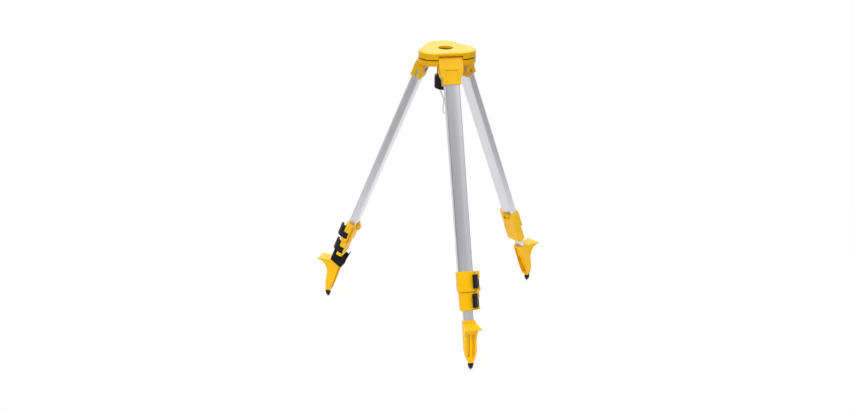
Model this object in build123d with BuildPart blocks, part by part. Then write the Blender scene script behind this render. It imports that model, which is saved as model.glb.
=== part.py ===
from build123d import *
import os
from math import cos, radians, sin, sqrt, tan

# Light surveying tripod, standing with its telescopic legs pushed in and spread.
# Millimetres. The origin is the middle of the head's top face, +Z is up and the front leg points to -Y.
# A leg is described by stations: distances from its hinge pin, measured down the leg.

# Fits and clearances
FIT = 0.1                   # around a piece that is fixed in its seat
RUN = 0.08                  # around a pin that something turns on
SLIDE = 0.3                 # around a piece that slides or turns loosely
SEAM = 0.4                  # between the ends of two pieces that part
HINGE_PLAY = 0.75           # each side of a hinge block in its notch

# Head: a triangle with broad round corners between the legs
HEAD_CORNER_RADIUS = 36.0
HEAD_CORNER_REACH = 34.0    # from the axis to the centre of a corner's arc
HEAD_HOLE_RADIUS = 17.5
PLATE_HEIGHT = 14.5
PLATE_WEB = 6.5             # plate left above each hinge notch
PLATE_RIM = 5.0             # plate left round the hole
PLATE_CHAMFER = 1.6
FRAME_HEIGHT = 15.5
FRAME_OPENING_RADIUS = 25.5
FRAME_EDGE = 2.5
SHADOW_GAP = 2.3            # open joint that shows round the head
SHADOW_DEPTH = 3.0
NOTCH_WALL = 8.0            # frame left between its opening and a notch
HEAD_SCREW_RADIUS = 2.5
HEAD_SCREW_HEAD_RADIUS = 4.5
HEAD_SCREW_HEAD_HEIGHT = 4.0
HEAD_SCREW_GRIP = 9.0       # thread in the plate
HEAD_SCREW_EDGE = 10.0      # from a screw's axis to the tip of its corner

# Leg hinges
SPREAD = 22.6               # tilt of a leg from the vertical, in degrees
HINGE_RADIUS = 43.0         # from the head's axis to a hinge pin
TUBE_OFFSET = -0.6          # the tube's axis lies this far outside the pin
PIN_RADIUS = 3.5
PIN_LENGTH = 80.0
KNUCKLE_RADIUS = 7.0
KNUCKLE_WIDTH = 55.0
STOP_GAP = 0.3              # stop pad to plate when the leg is spread
STOP_REACH = 3.0
BROW = (7.0, 1.7)           # upper front edge of a block, outside and above the pin
BLOCK_LENGTH = 59.7
BLOCK_SHOULDER = 20.0       # station where the wide knuckle ends
BLOCK_NECK = 46.0           # station where the body has its own width
BLOCK_FOLD = 23.0           # station of the fold in the outer face
BLOCK_FOLD_IN = 1.7         # the fold lies this far behind the lower edge
BLOCK_WALL = 3.0
BLOCK_BACK_WALL = 3.0
BLOCK_ROOF = 29.0           # station of the tube's upper end
BLOCK_SLOT_WIDTH = 5.0
BLOCK_SLOT_TOP = 42.0
BLOCK_PANEL_WIDTH = 28.0
BLOCK_PANEL_HEIGHT = 25.0
BLOCK_PANEL_CORNER = 1.5
BLOCK_PANEL_DEPTH = 1.0
BLOCK_WAIST = 8.2           # inner face beside the frame, from the tube's axis
BLOCK_WAIST_END = (18.5, 25.0)  # stations where the inner face starts to widen, and has widened
BOLT_STATION = 39.5
BOLT_RADIUS = 2.5
BOLT_HEAD_FLATS = 8.0
BOLT_HEAD_HEIGHT = 2.5

# Tubes, nested
UPPER_WIDTH = 34.0
UPPER_DEPTH = 18.5
UPPER_CORNER = 2.5
PANEL_MARGIN = 2.5          # from the tube's side to the raised panel on its outer face
PANEL_RAISE = 1.4
PANEL_CROWN = 150.0         # radius of the panel's slight crown
GROOVE_WIDTH = 1.4          # groove along each side of the panel
GROOVE_DEPTH = 0.6
SIDE_WALL = 1.7
FACE_WALL = 1.6
SIDE_GAP = 1.0
FACE_GAP = 0.4
TUBE_CORNER = 1.0
UPPER_SHOWN = 416.5         # upper tube between its block and its clamp
LOWER_SHOWN = 21.8          # lower tube between its clamp and its foot
PLUG_FLANGE = 8.0
PLUG_SPIGOT = 4.0
PLUG_STATION = 35.0

# Clamps and levers
UPPER_CLAMP_HEIGHT = 46.0
LOWER_CLAMP_HEIGHT = 41.2
CLAMP_WALL = 3.0
CLAMP_CORNER = 4.5
CLAMP_EDGE = 0.8
CLAMP_NECK = 17.0           # lower stretch of a clamp, which grips the sliding tube
LEVER_HEIGHT = 17.0         # barrel and arm, between the ears
UPPER_EAR = 18.0             # ear above the upper lever
LOWER_EAR = 14.8             # ear above the lower lever
LEVER_TAB_HEIGHT = 31.0     # finger tab in front of the ears
LEVER_TAB_RISE = 11.4       # the tab reaches this far above the barrel
EAR_REACH = 12.0            # from the sleeve's side to the ear's end
EAR_WIDTH = 16.0
EAR_CORNER = 5.5
LEVER_PIN_RADIUS = 2.0
LEVER_PIN_OUT = 5.8         # from the sleeve's side to the pin's axis
LEVER_PIN_BACK = 12.3       # from the sleeve's outer face to the pin's axis
LEVER_BARREL_RADIUS = 5.0
LEVER_ROUND = 1.1
LEVER_EDGE = 0.8
# Outline of a lever's tab, from beside the ears round the end and back, from the sleeve's outer right corner
LEVER_OUTLINE = (
    (7.0, 3.9), (3.0, -5.0), (-4.5, -11.0), (-7.0, -11.0), (-8.3, -9.3), (-8.3, -4.8), (-0.3, -3.8),
    (1.2, -2.3), (1.2, 3.9),
)
LUG_WIDTH = 14.0
LUG_HEIGHT = 12.0
LUG_REACH = 6.5
LUG_RECESS_RADIUS = 5.0
LUG_ROUND = 2.0

# Feet
FOOT_SIDE_WALL = 2.2        # around the lower tube: at its sides, its outer face and its inner face
FOOT_FRONT_WALL = 7.75
FOOT_BACK_WALL = 5.55
FOOT_REACH = 110.0          # from the foot's top to the tip's point, along the leg
FOOT_STRAIGHT = 40.0        # straight part of the outer face
FOOT_TOE_FRONT = 4.5        # at the level of the point, the outer face lies this far inside the tube's axis
FOOT_TOE_BACK = 14.0        # and the inner face this far
FOOT_TAPER = 55.0           # where the sides start to draw in
FOOT_BULGE = (2.2, 79.0)    # how far the sides have drawn in, and where
FOOT_END_HALF = 6.4
FOOT_END = 93.0             # where the sides have drawn in
FOOT_SOCKET = 30.0
FOOT_ROUND = 2.0
TIP_INSET = 13.0            # the point lies this far inside the tube's axis
TIP_LENGTH = 19.0
TIP_RADIUS = 6.3
TIP_BULGE = (4.3, 5.3)      # point of the rounded nose: radius and height
TIP_SHOULDER = 13.0         # height where the nose meets the straight part
TIP_STEM_RADIUS = 3.0
TIP_STEM_LENGTH = 12.0
CHANNEL_SIDE_WALL = 2.0
CHANNEL_END_HALF = 7.5
CHANNEL_TOP = 4.0
CHANNEL_END = 84.0
CHANNEL_FLOOR_WALL = 1.95   # between the lower tube and the channel
CHANNEL_DEEP = 35.0         # from here down the channel has a deeper floor
CHANNEL_DEEP_FLOOR = 4.0
RIDGE_HALF_WIDTH = 2.6      # left between the grooves
GROOVED_WIDTH = 5.5         # groove on each side of the toe's middle
GROOVED_LENGTH = 52.0
GROOVED_RISE = 10.0         # the grooves start this far above the bend of the outer face, under the pedal
GROOVED_DEPTH = 3.0
PEDAL_TOP = 5.4             # where the pedal's top meets the outer face, below the foot's top
PEDAL_REACH = 33.0          # from the foot's outer face to the pedal's edge
PEDAL_FLARE = 5.6           # the pedal's edge is this much wider than the foot, at each end
# Underside of the pedal: distance outside the foot's outer face, and below the pedal's top
PEDAL_UNDER = ((32.4, 2.5), (24.0, 5.0), (16.5, 9.7), (9.5, 17.1), (3.0, 27.3), (-2.0, 38.4))

# Centre screw, with a thread of 5/8 inch, and the arm that carries it
SCREW_RADIUS = 7.9375
SCREW_THREAD = 12.0
SCREW_NECK_RADIUS = 6.4
SCREW_TIP = 6.5             # depth of the lowered screw's tip below the head's face
SCREW_GRIP = 38.0           # length held in the handle
ARM_CEILING = 7.5           # depth of the pocket's roof below the head's face
ARM_THICKNESS = 3.0
ARM_PIVOT_REACH = 44.0
ARM_EYE_RADIUS = 9.0
ARM_HALF_WIDTH = 16.0
ARM_NOSE = 26.0             # from the axis to the arm's free end
ARM_ROOM = 3.0              # room for the arm to swing in its pocket
SCREW_SHIFT = 2.0           # travel of the bush each way along the arm
PIVOT_RADIUS = 4.0
PIVOT_THREAD_RADIUS = 3.0
PIVOT_THREAD_LENGTH = 4.5
PIVOT_HEAD_RADIUS = 6.0
PIVOT_HEAD_HEIGHT = 2.5
BUSH_FLANGE = 2.0
BUSH_FLANGE_RADIUS = 13.0
BUSH_ROOM_RADIUS = 22.0
BUSH_RADIUS = 11.0
BUSH_LIP = 2.4
WASHER_DEPTH = 38.0         # depth of the thrust washer's top below the head's face
WASHER_RADIUS = 15.0
WASHER_THICKNESS = 2.0

# Handle of the screw
HUB_RADIUS = 19.0
HUB_HEIGHT = 24.0
GRIP_RADIUS = 24.5
GRIP_HEIGHT = 29.5
GRIP_FLUTES = 14
FLUTE_RADIUS = 3.4
FLUTE_DEPTH = 1.3
GRIP_ROUND = 3.0

# Plumb chain and hook, hung in a V from the handle
STAPLE_REACH = 12.0
STAPLE_WIRE = 0.55
STAPLE_EYE = 2.2            # radius of the eye's wire line
STAPLE_STEM = 6.0
LINKS = 7                   # an odd number, so that both end links stand across their eyes
LINK_WIRE = 0.45
LINK_LENGTH = 5.3           # between the wire lines of a link's ends
LINK_HALF_WIDTH = 1.45
LINK_SLACK = 0.35
HOOK_WIRE = 0.75
HOOK_EYE = 3.2
HOOK_HALF_WIDTH = 3.8
HOOK_DROP = 25.5            # from the eye to the bottom of the hook
HOOK_BEND = 5.0
HOOK_BEND_RADIUS = 3.0
HOOK_TIP = 7.0

# Strap round the left leg, over the foot's upper end
STRAP_SIDE = 3.7            # from the foot's sides, outer face and inner face to the outside of the ring
STRAP_FRONT = 4.0
STRAP_BACK = 6.2
STRAP_CORNER = 7.0
STRAP_THICKNESS = 2.0
STRAP_WIDTH = 27.0
STRAP_REST = 1.6            # between the pedal's top and the ring's outer side
STRAP_TILT = 14.0           # the ring hangs lower on the inner side, in degrees
# Outline of the loose end: distance inside the ring's inner side, and above the foot's top
STRAP_LOOSE_END = (
    (-15.0, -4.8), (-5.0, -6.8), (5.2, 10.2), (5.2, 19.2), (9.3, 45.0), (4.0, 32.0), (-3.5, 17.2), (-15.0, 15.2),
)

LEG_ANGLES = {"front": -90.0, "right": 30.0, "left": 150.0}
CORNER_TURN = 60.0          # from a leg to the next corner of the head
CORNER_START = -30.0
UP = Vector(0, 0, 1)

# Sizes that follow
HINGE_DROP = PLATE_HEIGHT
BLOCK_HALF = UPPER_WIDTH / 2 + BLOCK_WALL
NOTCH_INNER = FRAME_OPENING_RADIUS + NOTCH_WALL
NOTCH_HALF = KNUCKLE_WIDTH / 2 + HINGE_PLAY
HEAD_REACH = HEAD_CORNER_REACH + HEAD_CORNER_RADIUS
HEAD_SCREW_REACH = HEAD_REACH - HEAD_SCREW_EDGE
PANEL_WIDTH = UPPER_WIDTH - 2 * PANEL_MARGIN
UPPER_FACE = UPPER_DEPTH / 2 + PANEL_RAISE
MIDDLE_WIDTH = UPPER_WIDTH - 2 * (SIDE_WALL + SIDE_GAP)
MIDDLE_DEPTH = UPPER_DEPTH - 2 * (FACE_WALL + FACE_GAP)
LOWER_WIDTH = MIDDLE_WIDTH - 2 * (SIDE_WALL + SIDE_GAP)
LOWER_DEPTH = MIDDLE_DEPTH - 2 * (FACE_WALL + FACE_GAP)
BOLT_SEAT = UPPER_DEPTH / 2 + BLOCK_BACK_WALL
BOLT_END = UPPER_DEPTH / 2 - FACE_WALL + FIT
BLOCK_FRONT = UPPER_FACE + BLOCK_WALL
UPPER_CLAMP_TOP = BLOCK_LENGTH + UPPER_SHOWN
LOWER_CLAMP_TOP = UPPER_CLAMP_TOP + UPPER_CLAMP_HEIGHT
LOWER_CLAMP_END = LOWER_CLAMP_TOP + LOWER_CLAMP_HEIGHT
UPPER_TUBE_END = LOWER_CLAMP_TOP - CLAMP_NECK
MIDDLE_TUBE_END = LOWER_CLAMP_END - CLAMP_NECK
MIDDLE_TUBE_TOP = PLUG_STATION + PLUG_FLANGE
LOWER_PLUG_STATION = MIDDLE_TUBE_TOP + PLUG_SPIGOT + SLIDE
LOWER_TUBE_TOP = LOWER_PLUG_STATION + PLUG_FLANGE
CLAMP_BOLT_STATION = UPPER_CLAMP_TOP + LUG_HEIGHT / 2
BOLT_STATIONS = (BOLT_STATION, CLAMP_BOLT_STATION)
FOOT_TOP = LOWER_CLAMP_END + LOWER_SHOWN
TIP_STATION = FOOT_TOP + FOOT_REACH
FOOT_HALF_WIDTH = LOWER_WIDTH / 2 + FOOT_SIDE_WALL
FOOT_FRONT = LOWER_DEPTH / 2 + FOOT_FRONT_WALL
FOOT_BACK = LOWER_DEPTH / 2 + FOOT_BACK_WALL
CHANNEL_HALF_WIDTH = FOOT_HALF_WIDTH - CHANNEL_SIDE_WALL
CHANNEL_FLOOR = LOWER_DEPTH / 2 + CHANNEL_FLOOR_WALL
PEDAL_EDGE_HALF = FOOT_HALF_WIDTH + PEDAL_FLARE
PEDAL_FRONT = FOOT_FRONT + PEDAL_REACH
PEDAL_SLOPE = tan(radians(SPREAD))
STRAP_HALF_WIDTH = FOOT_HALF_WIDTH + STRAP_SIDE
STRAP_OUTER = FOOT_FRONT + STRAP_FRONT
STRAP_INNER = FOOT_BACK + STRAP_BACK
STRAP_BED = STRAP_FRONT - STRAP_THICKNESS
STRAP_STATION = (
    FOOT_TOP + PEDAL_TOP + STRAP_BED * PEDAL_SLOPE + (FOOT_FRONT + STRAP_BED) * tan(radians(STRAP_TILT)) - STRAP_REST
)
ARM_TOP = ARM_CEILING + SLIDE
BUSH_TOP = ARM_TOP - FIT - BUSH_FLANGE
BUSH_SEAT = SCREW_TIP + SCREW_THREAD + SLIDE
HUB_TOP = WASHER_DEPTH + WASHER_THICKNESS
GRIP_TOP = HUB_TOP + HUB_HEIGHT
GRIP_END = GRIP_TOP + GRIP_HEIGHT


def toward(angle):
    """Level unit vector at an angle from +X."""
    return Vector(cos(radians(angle)), sin(radians(angle)), 0)


def pin_plane(angle):
    """Plane across a hinge pin, in the middle of the pin."""
    middle = toward(angle) * HINGE_RADIUS - UP * HINGE_DROP
    return Plane(origin=middle, x_dir=toward(angle), z_dir=toward(angle + 90))


def leg_plane(angle):
    """Leg frame on the tube's axis: x to the right seen from outside, y to the inside, z up the leg."""
    tilt = radians(SPREAD)
    outer_normal = toward(angle) * cos(tilt) + UP * sin(tilt)
    up_leg = UP * cos(tilt) - toward(angle) * sin(tilt)
    return Plane(
        origin=pin_plane(angle).origin + outer_normal * TUBE_OFFSET, x_dir=toward(angle + 90), z_dir=up_leg
    )


def side_plane(leg):
    """Plane through a leg's axis, seen from its side: x outwards, y up the leg."""
    return Plane(origin=leg.origin, x_dir=-leg.y_dir, z_dir=-leg.x_dir)


def face_plane(leg):
    """Plane through a leg's axis, seen from outside: x to the right, y up the leg."""
    return Plane(origin=leg.origin, x_dir=leg.x_dir, z_dir=-leg.y_dir)


def tip_plane(leg):
    """Level plane at the point of a leg's foot."""
    return Plane(origin=leg.from_local_coords((0, TIP_INSET, -TIP_STATION)), x_dir=leg.x_dir, z_dir=UP)


def from_pin(outward, upward):
    """Point of a side plane, given level and upright distances from the hinge pin of the spread leg."""
    tilt = radians(SPREAD)
    return (
        -TUBE_OFFSET + outward * cos(tilt) + upward * sin(tilt),
        upward * cos(tilt) - outward * sin(tilt),
    )


def head_outline(radius):
    """Outline of the head, drawn in the open sketch."""
    tangents = []
    for angle in LEG_ANGLES.values():
        for corner in (angle - CORNER_TURN, angle + CORNER_TURN):
            tangents.append(toward(corner) * HEAD_CORNER_REACH + toward(angle) * radius)
    Polygon(*tangents, align=None)
    with PolarLocations(HEAD_CORNER_REACH, len(LEG_ANGLES), start_angle=CORNER_START):
        Circle(radius)


def hinge_notches():
    """Notches for the hinge blocks, drawn in the open sketch."""
    reach = HEAD_REACH - NOTCH_INNER
    with PolarLocations(NOTCH_INNER + reach / 2, len(LEG_ANGLES), start_angle=LEG_ANGLES["front"]):
        Rectangle(reach, 2 * NOTCH_HALF)


def upper_outline(grow=0.0):
    """Outer outline of an upper tube, with its raised and slightly crowned panel."""
    RectangleRounded(UPPER_WIDTH + 2 * grow, UPPER_DEPTH + 2 * grow, UPPER_CORNER + grow)
    with Locations((0, -(UPPER_FACE + grow) / 2)):
        Rectangle(PANEL_WIDTH + 2 * grow, UPPER_FACE + grow)
    with Locations((0, PANEL_CROWN - UPPER_FACE)):
        Circle(PANEL_CROWN + grow, mode=Mode.INTERSECT)


def middle_outline(grow=0.0):
    """Outer outline of a middle tube."""
    RectangleRounded(MIDDLE_WIDTH + 2 * grow, MIDDLE_DEPTH + 2 * grow, TUBE_CORNER + max(grow, 0))


def lower_outline(grow=0.0):
    """Outer outline of a lower tube."""
    RectangleRounded(LOWER_WIDTH + 2 * grow, LOWER_DEPTH + 2 * grow, TUBE_CORNER + max(grow, 0))


def middle_room(grow=0.0, mode=Mode.SUBTRACT):
    """Inside of an upper tube."""
    RectangleRounded(
        UPPER_WIDTH - 2 * SIDE_WALL + 2 * grow, UPPER_DEPTH - 2 * FACE_WALL + 2 * grow, TUBE_CORNER, mode=mode
    )


def lower_room(grow=0.0, mode=Mode.SUBTRACT):
    """Inside of a middle tube."""
    RectangleRounded(
        MIDDLE_WIDTH - 2 * SIDE_WALL + 2 * grow, MIDDLE_DEPTH - 2 * FACE_WALL + 2 * grow, TUBE_CORNER, mode=mode
    )


def lower_hollow(grow=0.0, mode=Mode.SUBTRACT):
    """Inside of a lower tube."""
    RectangleRounded(
        LOWER_WIDTH - 2 * SIDE_WALL + 2 * grow, LOWER_DEPTH - 2 * FACE_WALL + 2 * grow, TUBE_CORNER, mode=mode
    )


def save(piece, name):
    """Label a finished piece and write it."""
    piece.part.label = name
    export_step(piece.part, f"parts/{name}.step")


os.makedirs("parts", exist_ok=True)

# Head plate
with BuildPart() as head_plate:
    with BuildSketch():
        head_outline(HEAD_CORNER_RADIUS)
    extrude(amount=-PLATE_HEIGHT)
    chamfer(head_plate.faces().sort_by(Axis.Z)[-1].edges(), PLATE_CHAMFER)
    with BuildSketch(Plane.XY.offset(-PLATE_WEB)):
        hinge_notches()
    extrude(amount=-PLATE_HEIGHT, mode=Mode.SUBTRACT)
    with BuildSketch():
        Circle(HEAD_HOLE_RADIUS)
    extrude(amount=-PLATE_HEIGHT, mode=Mode.SUBTRACT)
    with BuildSketch(Plane.XY.offset(-PLATE_RIM)):
        Circle(BUSH_ROOM_RADIUS)
    extrude(amount=-PLATE_HEIGHT, mode=Mode.SUBTRACT)
    with BuildSketch(Plane.XY.offset(-ARM_CEILING)):
        Circle(ARM_NOSE + ARM_ROOM)
        with Locations((0, ARM_PIVOT_REACH / 2)):
            Rectangle(2 * (ARM_EYE_RADIUS + ARM_ROOM), ARM_PIVOT_REACH)
        with Locations((0, ARM_PIVOT_REACH)):
            Circle(ARM_EYE_RADIUS + ARM_ROOM)
    extrude(amount=-PLATE_HEIGHT, mode=Mode.SUBTRACT)
    with BuildSketch(Plane.XY.offset(-ARM_CEILING)):
        with Locations((0, ARM_PIVOT_REACH)):
            Circle(PIVOT_THREAD_RADIUS + FIT)
    extrude(amount=PIVOT_THREAD_LENGTH + FIT, mode=Mode.SUBTRACT)
    with BuildSketch(Plane.XY.offset(-PLATE_HEIGHT)):
        with PolarLocations(HEAD_SCREW_REACH, len(LEG_ANGLES), start_angle=CORNER_START):
            Circle(HEAD_SCREW_RADIUS + FIT)
    extrude(amount=HEAD_SCREW_GRIP + FIT, mode=Mode.SUBTRACT)
    for angle in LEG_ANGLES.values():
        with BuildSketch(pin_plane(angle)):
            Circle(PIN_RADIUS + FIT)
        extrude(amount=PIN_LENGTH / 2 + FIT, both=True, mode=Mode.SUBTRACT)
save(head_plate, "head_plate")

# Head frame
with BuildPart() as head_frame:
    with BuildSketch(Plane.XY.offset(-PLATE_HEIGHT - SHADOW_GAP)):
        head_outline(HEAD_CORNER_RADIUS)
    extrude(amount=SHADOW_GAP - FRAME_HEIGHT)
    fillet(head_frame.faces().sort_by(Axis.Z)[0].edges(), FRAME_EDGE)
    with BuildSketch(Plane.XY.offset(-PLATE_HEIGHT)):
        head_outline(HEAD_CORNER_RADIUS - SHADOW_DEPTH)
    extrude(amount=-SHADOW_GAP)
    with BuildSketch(Plane.XY.offset(-PLATE_HEIGHT)):
        hinge_notches()
        Circle(FRAME_OPENING_RADIUS)
    extrude(amount=-FRAME_HEIGHT, mode=Mode.SUBTRACT)
    with BuildSketch(Plane.XY.offset(-PLATE_HEIGHT)):
        with PolarLocations(HEAD_SCREW_REACH, len(LEG_ANGLES), start_angle=CORNER_START):
            Circle(HEAD_SCREW_RADIUS + FIT)
    extrude(amount=-FRAME_HEIGHT, mode=Mode.SUBTRACT)
    with BuildSketch(Plane.XY.offset(-PLATE_HEIGHT - FRAME_HEIGHT)):
        with PolarLocations(HEAD_SCREW_REACH, len(LEG_ANGLES), start_angle=CORNER_START):
            Circle(HEAD_SCREW_HEAD_RADIUS + FIT)
    extrude(amount=HEAD_SCREW_HEAD_HEIGHT, mode=Mode.SUBTRACT)
    for angle in LEG_ANGLES.values():
        with BuildSketch(pin_plane(angle)):
            Circle(PIN_RADIUS + FIT)
        extrude(amount=PIN_LENGTH / 2 + FIT, both=True, mode=Mode.SUBTRACT)
save(head_frame, "head_frame")

# Screws that draw the frame up to the plate
with BuildPart() as head_screws:
    with BuildSketch(Plane.XY.offset(-PLATE_HEIGHT - FRAME_HEIGHT)):
        with PolarLocations(HEAD_SCREW_REACH, len(LEG_ANGLES), start_angle=CORNER_START):
            Circle(HEAD_SCREW_HEAD_RADIUS)
    extrude(amount=HEAD_SCREW_HEAD_HEIGHT)
    with BuildSketch(Plane.XY.offset(-PLATE_HEIGHT - FRAME_HEIGHT)):
        with PolarLocations(HEAD_SCREW_REACH, len(LEG_ANGLES), start_angle=CORNER_START):
            Circle(HEAD_SCREW_RADIUS)
    extrude(amount=FRAME_HEIGHT + HEAD_SCREW_GRIP)
save(head_screws, "head_screws")

# Hinge pins, lying in the joint between plate and frame
with BuildPart() as hinge_pins:
    for angle in LEG_ANGLES.values():
        with BuildSketch(pin_plane(angle)):
            Circle(PIN_RADIUS)
        extrude(amount=PIN_LENGTH / 2, both=True)
save(hinge_pins, "hinge_pins")

# Arm that swings under the plate and carries the centre screw
with BuildPart() as swing_arm:
    with BuildSketch(Plane.XY.offset(-ARM_TOP)):
        RectangleRounded(2 * ARM_HALF_WIDTH, 2 * ARM_NOSE, ARM_HALF_WIDTH - FIT)
        with Locations((0, ARM_PIVOT_REACH / 2)):
            Rectangle(2 * ARM_EYE_RADIUS, ARM_PIVOT_REACH)
        with Locations((0, ARM_PIVOT_REACH)):
            Circle(ARM_EYE_RADIUS)
            Circle(PIVOT_RADIUS + RUN, mode=Mode.SUBTRACT)
        SlotOverall(
            2 * (BUSH_RADIUS + SLIDE + SCREW_SHIFT), 2 * (BUSH_RADIUS + SLIDE), rotation=90, mode=Mode.SUBTRACT
        )
    extrude(amount=-ARM_THICKNESS)
save(swing_arm, "swing_arm")

# Shouldered pivot screw of the arm
with BuildPart() as arm_pivot_screw:
    with BuildSketch(Plane.XY.offset(-ARM_CEILING)):
        with Locations((0, ARM_PIVOT_REACH)):
            Circle(PIVOT_THREAD_RADIUS)
    extrude(amount=PIVOT_THREAD_LENGTH)
    with BuildSketch(Plane.XY.offset(-ARM_CEILING)):
        with Locations((0, ARM_PIVOT_REACH)):
            Circle(PIVOT_RADIUS)
    extrude(amount=-ARM_THICKNESS - 2 * SLIDE)
    with BuildSketch(Plane.XY.offset(-ARM_TOP - ARM_THICKNESS - SLIDE)):
        with Locations((0, ARM_PIVOT_REACH)):
            Circle(PIVOT_HEAD_RADIUS)
    extrude(amount=-PIVOT_HEAD_HEIGHT)
save(arm_pivot_screw, "arm_pivot_screw")

# Bush that slides in the arm's slot and keeps the screw from dropping out
with BuildPart() as screw_bush:
    with BuildSketch(Plane.XY.offset(-BUSH_TOP)):
        Circle(BUSH_FLANGE_RADIUS)
    extrude(amount=-BUSH_FLANGE)
    with BuildSketch(Plane.XY.offset(-BUSH_TOP)):
        Circle(BUSH_RADIUS)
    extrude(amount=BUSH_TOP - BUSH_SEAT - BUSH_LIP)
    with BuildSketch(Plane.XY.offset(-BUSH_TOP)):
        Circle(SCREW_RADIUS + SLIDE)
    extrude(amount=BUSH_TOP - BUSH_SEAT, mode=Mode.SUBTRACT)
    with BuildSketch(Plane.XY.offset(-BUSH_SEAT)):
        Circle(SCREW_NECK_RADIUS + SLIDE)
    extrude(amount=-BUSH_LIP, mode=Mode.SUBTRACT)
save(screw_bush, "screw_bush")

# Thrust washer on top of the handle
with BuildPart() as thrust_washer:
    with BuildSketch(Plane.XY.offset(-WASHER_DEPTH)):
        Circle(WASHER_RADIUS)
        Circle(SCREW_NECK_RADIUS + RUN, mode=Mode.SUBTRACT)
    extrude(amount=-WASHER_THICKNESS + FIT)
save(thrust_washer, "thrust_washer")

# Centre screw, lowered
with BuildPart() as centre_screw:
    with BuildSketch(Plane.XY.offset(-SCREW_TIP)):
        Circle(SCREW_RADIUS)
    extrude(amount=-SCREW_THREAD)
    chamfer(centre_screw.faces().sort_by(Axis.Z)[-1].edges(), SCREW_RADIUS - SCREW_NECK_RADIUS)
    with BuildSketch(Plane.XY.offset(-SCREW_TIP - SCREW_THREAD)):
        Circle(SCREW_NECK_RADIUS)
    extrude(amount=SCREW_TIP + SCREW_THREAD - HUB_TOP - SCREW_GRIP)
save(centre_screw, "centre_screw")

# Handle of the screw, with a fluted grip below a plain hub
with BuildPart() as screw_handle:
    with BuildSketch(Plane.XY.offset(-GRIP_END)):
        Circle(GRIP_RADIUS)
        with PolarLocations(GRIP_RADIUS + FLUTE_RADIUS - FLUTE_DEPTH, GRIP_FLUTES):
            Circle(FLUTE_RADIUS, mode=Mode.SUBTRACT)
    extrude(amount=GRIP_HEIGHT)
    fillet(screw_handle.faces().sort_by(Axis.Z)[0].edges(), GRIP_ROUND)
    with BuildSketch(Plane.XY.offset(-GRIP_TOP)):
        Circle(HUB_RADIUS)
    extrude(amount=HUB_HEIGHT)
    fillet(screw_handle.faces().sort_by(Axis.Z)[-1].edges(), GRIP_ROUND)
    with BuildSketch(Plane.XY.offset(-HUB_TOP)):
        Circle(SCREW_NECK_RADIUS + FIT)
    extrude(amount=-SCREW_GRIP - FIT, mode=Mode.SUBTRACT)
    with BuildSketch(Plane.XY.offset(-GRIP_END)):
        with Locations((-STAPLE_REACH, 0), (STAPLE_REACH, 0)):
            Circle(STAPLE_WIRE + FIT)
    extrude(amount=STAPLE_STEM + FIT, mode=Mode.SUBTRACT)
save(screw_handle, "screw_handle")

# Plumb chain: two strands of links run down from the staples to the eye of the hook
STAPLE_EYE_DEPTH = GRIP_END + STAPLE_EYE + STAPLE_WIRE + SLIDE
LINK_PITCH = LINK_LENGTH - 2 * LINK_WIRE - LINK_SLACK
LINK_HOLD = LINK_WIRE + STAPLE_WIRE + LINK_SLACK    # a link's end lies this far past the staple's wire line
HOOK_HOLD = LINK_WIRE + HOOK_WIRE + LINK_SLACK      # and this far past the hook eye's
CHAIN_SPAN = LINK_LENGTH + (LINKS - 1) * LINK_PITCH - LINK_HOLD - HOOK_HOLD
CHAIN_FALL = sqrt((STAPLE_EYE + CHAIN_SPAN + HOOK_EYE) ** 2 - STAPLE_REACH**2)
HOOK_EYE_HEIGHT = -STAPLE_EYE_DEPTH - CHAIN_FALL

with BuildPart() as chain_staples:
    for side in (-1, 1):
        with Locations(Plane(origin=(side * STAPLE_REACH, 0, -STAPLE_EYE_DEPTH), z_dir=(0, 1, 0))):
            Torus(STAPLE_EYE, STAPLE_WIRE)
    with BuildSketch(Plane.XY.offset(STAPLE_EYE - STAPLE_EYE_DEPTH)):
        with Locations((-STAPLE_REACH, 0), (STAPLE_REACH, 0)):
            Circle(STAPLE_WIRE)
    extrude(amount=STAPLE_EYE_DEPTH - STAPLE_EYE - GRIP_END + STAPLE_STEM)
save(chain_staples, "chain_staples")

with BuildPart() as plumb_chain:
    straight = LINK_LENGTH / 2 - LINK_HALF_WIDTH
    for side in (-1, 1):
        eye = Vector(side * STAPLE_REACH, 0, -STAPLE_EYE_DEPTH)
        down = Vector(-side * STAPLE_REACH, 0, -CHAIN_FALL).normalized()
        for index in range(LINKS):
            middle = eye + down * (STAPLE_EYE + LINK_LENGTH / 2 - LINK_HOLD + index * LINK_PITCH)
            across = Vector(0, 1, 0) if index % 2 == 0 else down.cross(Vector(0, 1, 0))
            link = Plane(origin=middle, x_dir=down, z_dir=down.cross(across))
            with BuildLine(link):
                lead = Line((-straight, LINK_HALF_WIDTH), (straight, LINK_HALF_WIDTH))
                ThreePointArc(
                    (straight, LINK_HALF_WIDTH), (LINK_LENGTH / 2, 0), (straight, -LINK_HALF_WIDTH)
                )
                Line((straight, -LINK_HALF_WIDTH), (-straight, -LINK_HALF_WIDTH))
                ThreePointArc(
                    (-straight, -LINK_HALF_WIDTH), (-LINK_LENGTH / 2, 0), (-straight, LINK_HALF_WIDTH)
                )
            with BuildSketch(Plane(origin=lead @ 0, z_dir=lead % 0)):
                Circle(LINK_WIRE)
            sweep()
save(plumb_chain, "plumb_chain")

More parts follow.
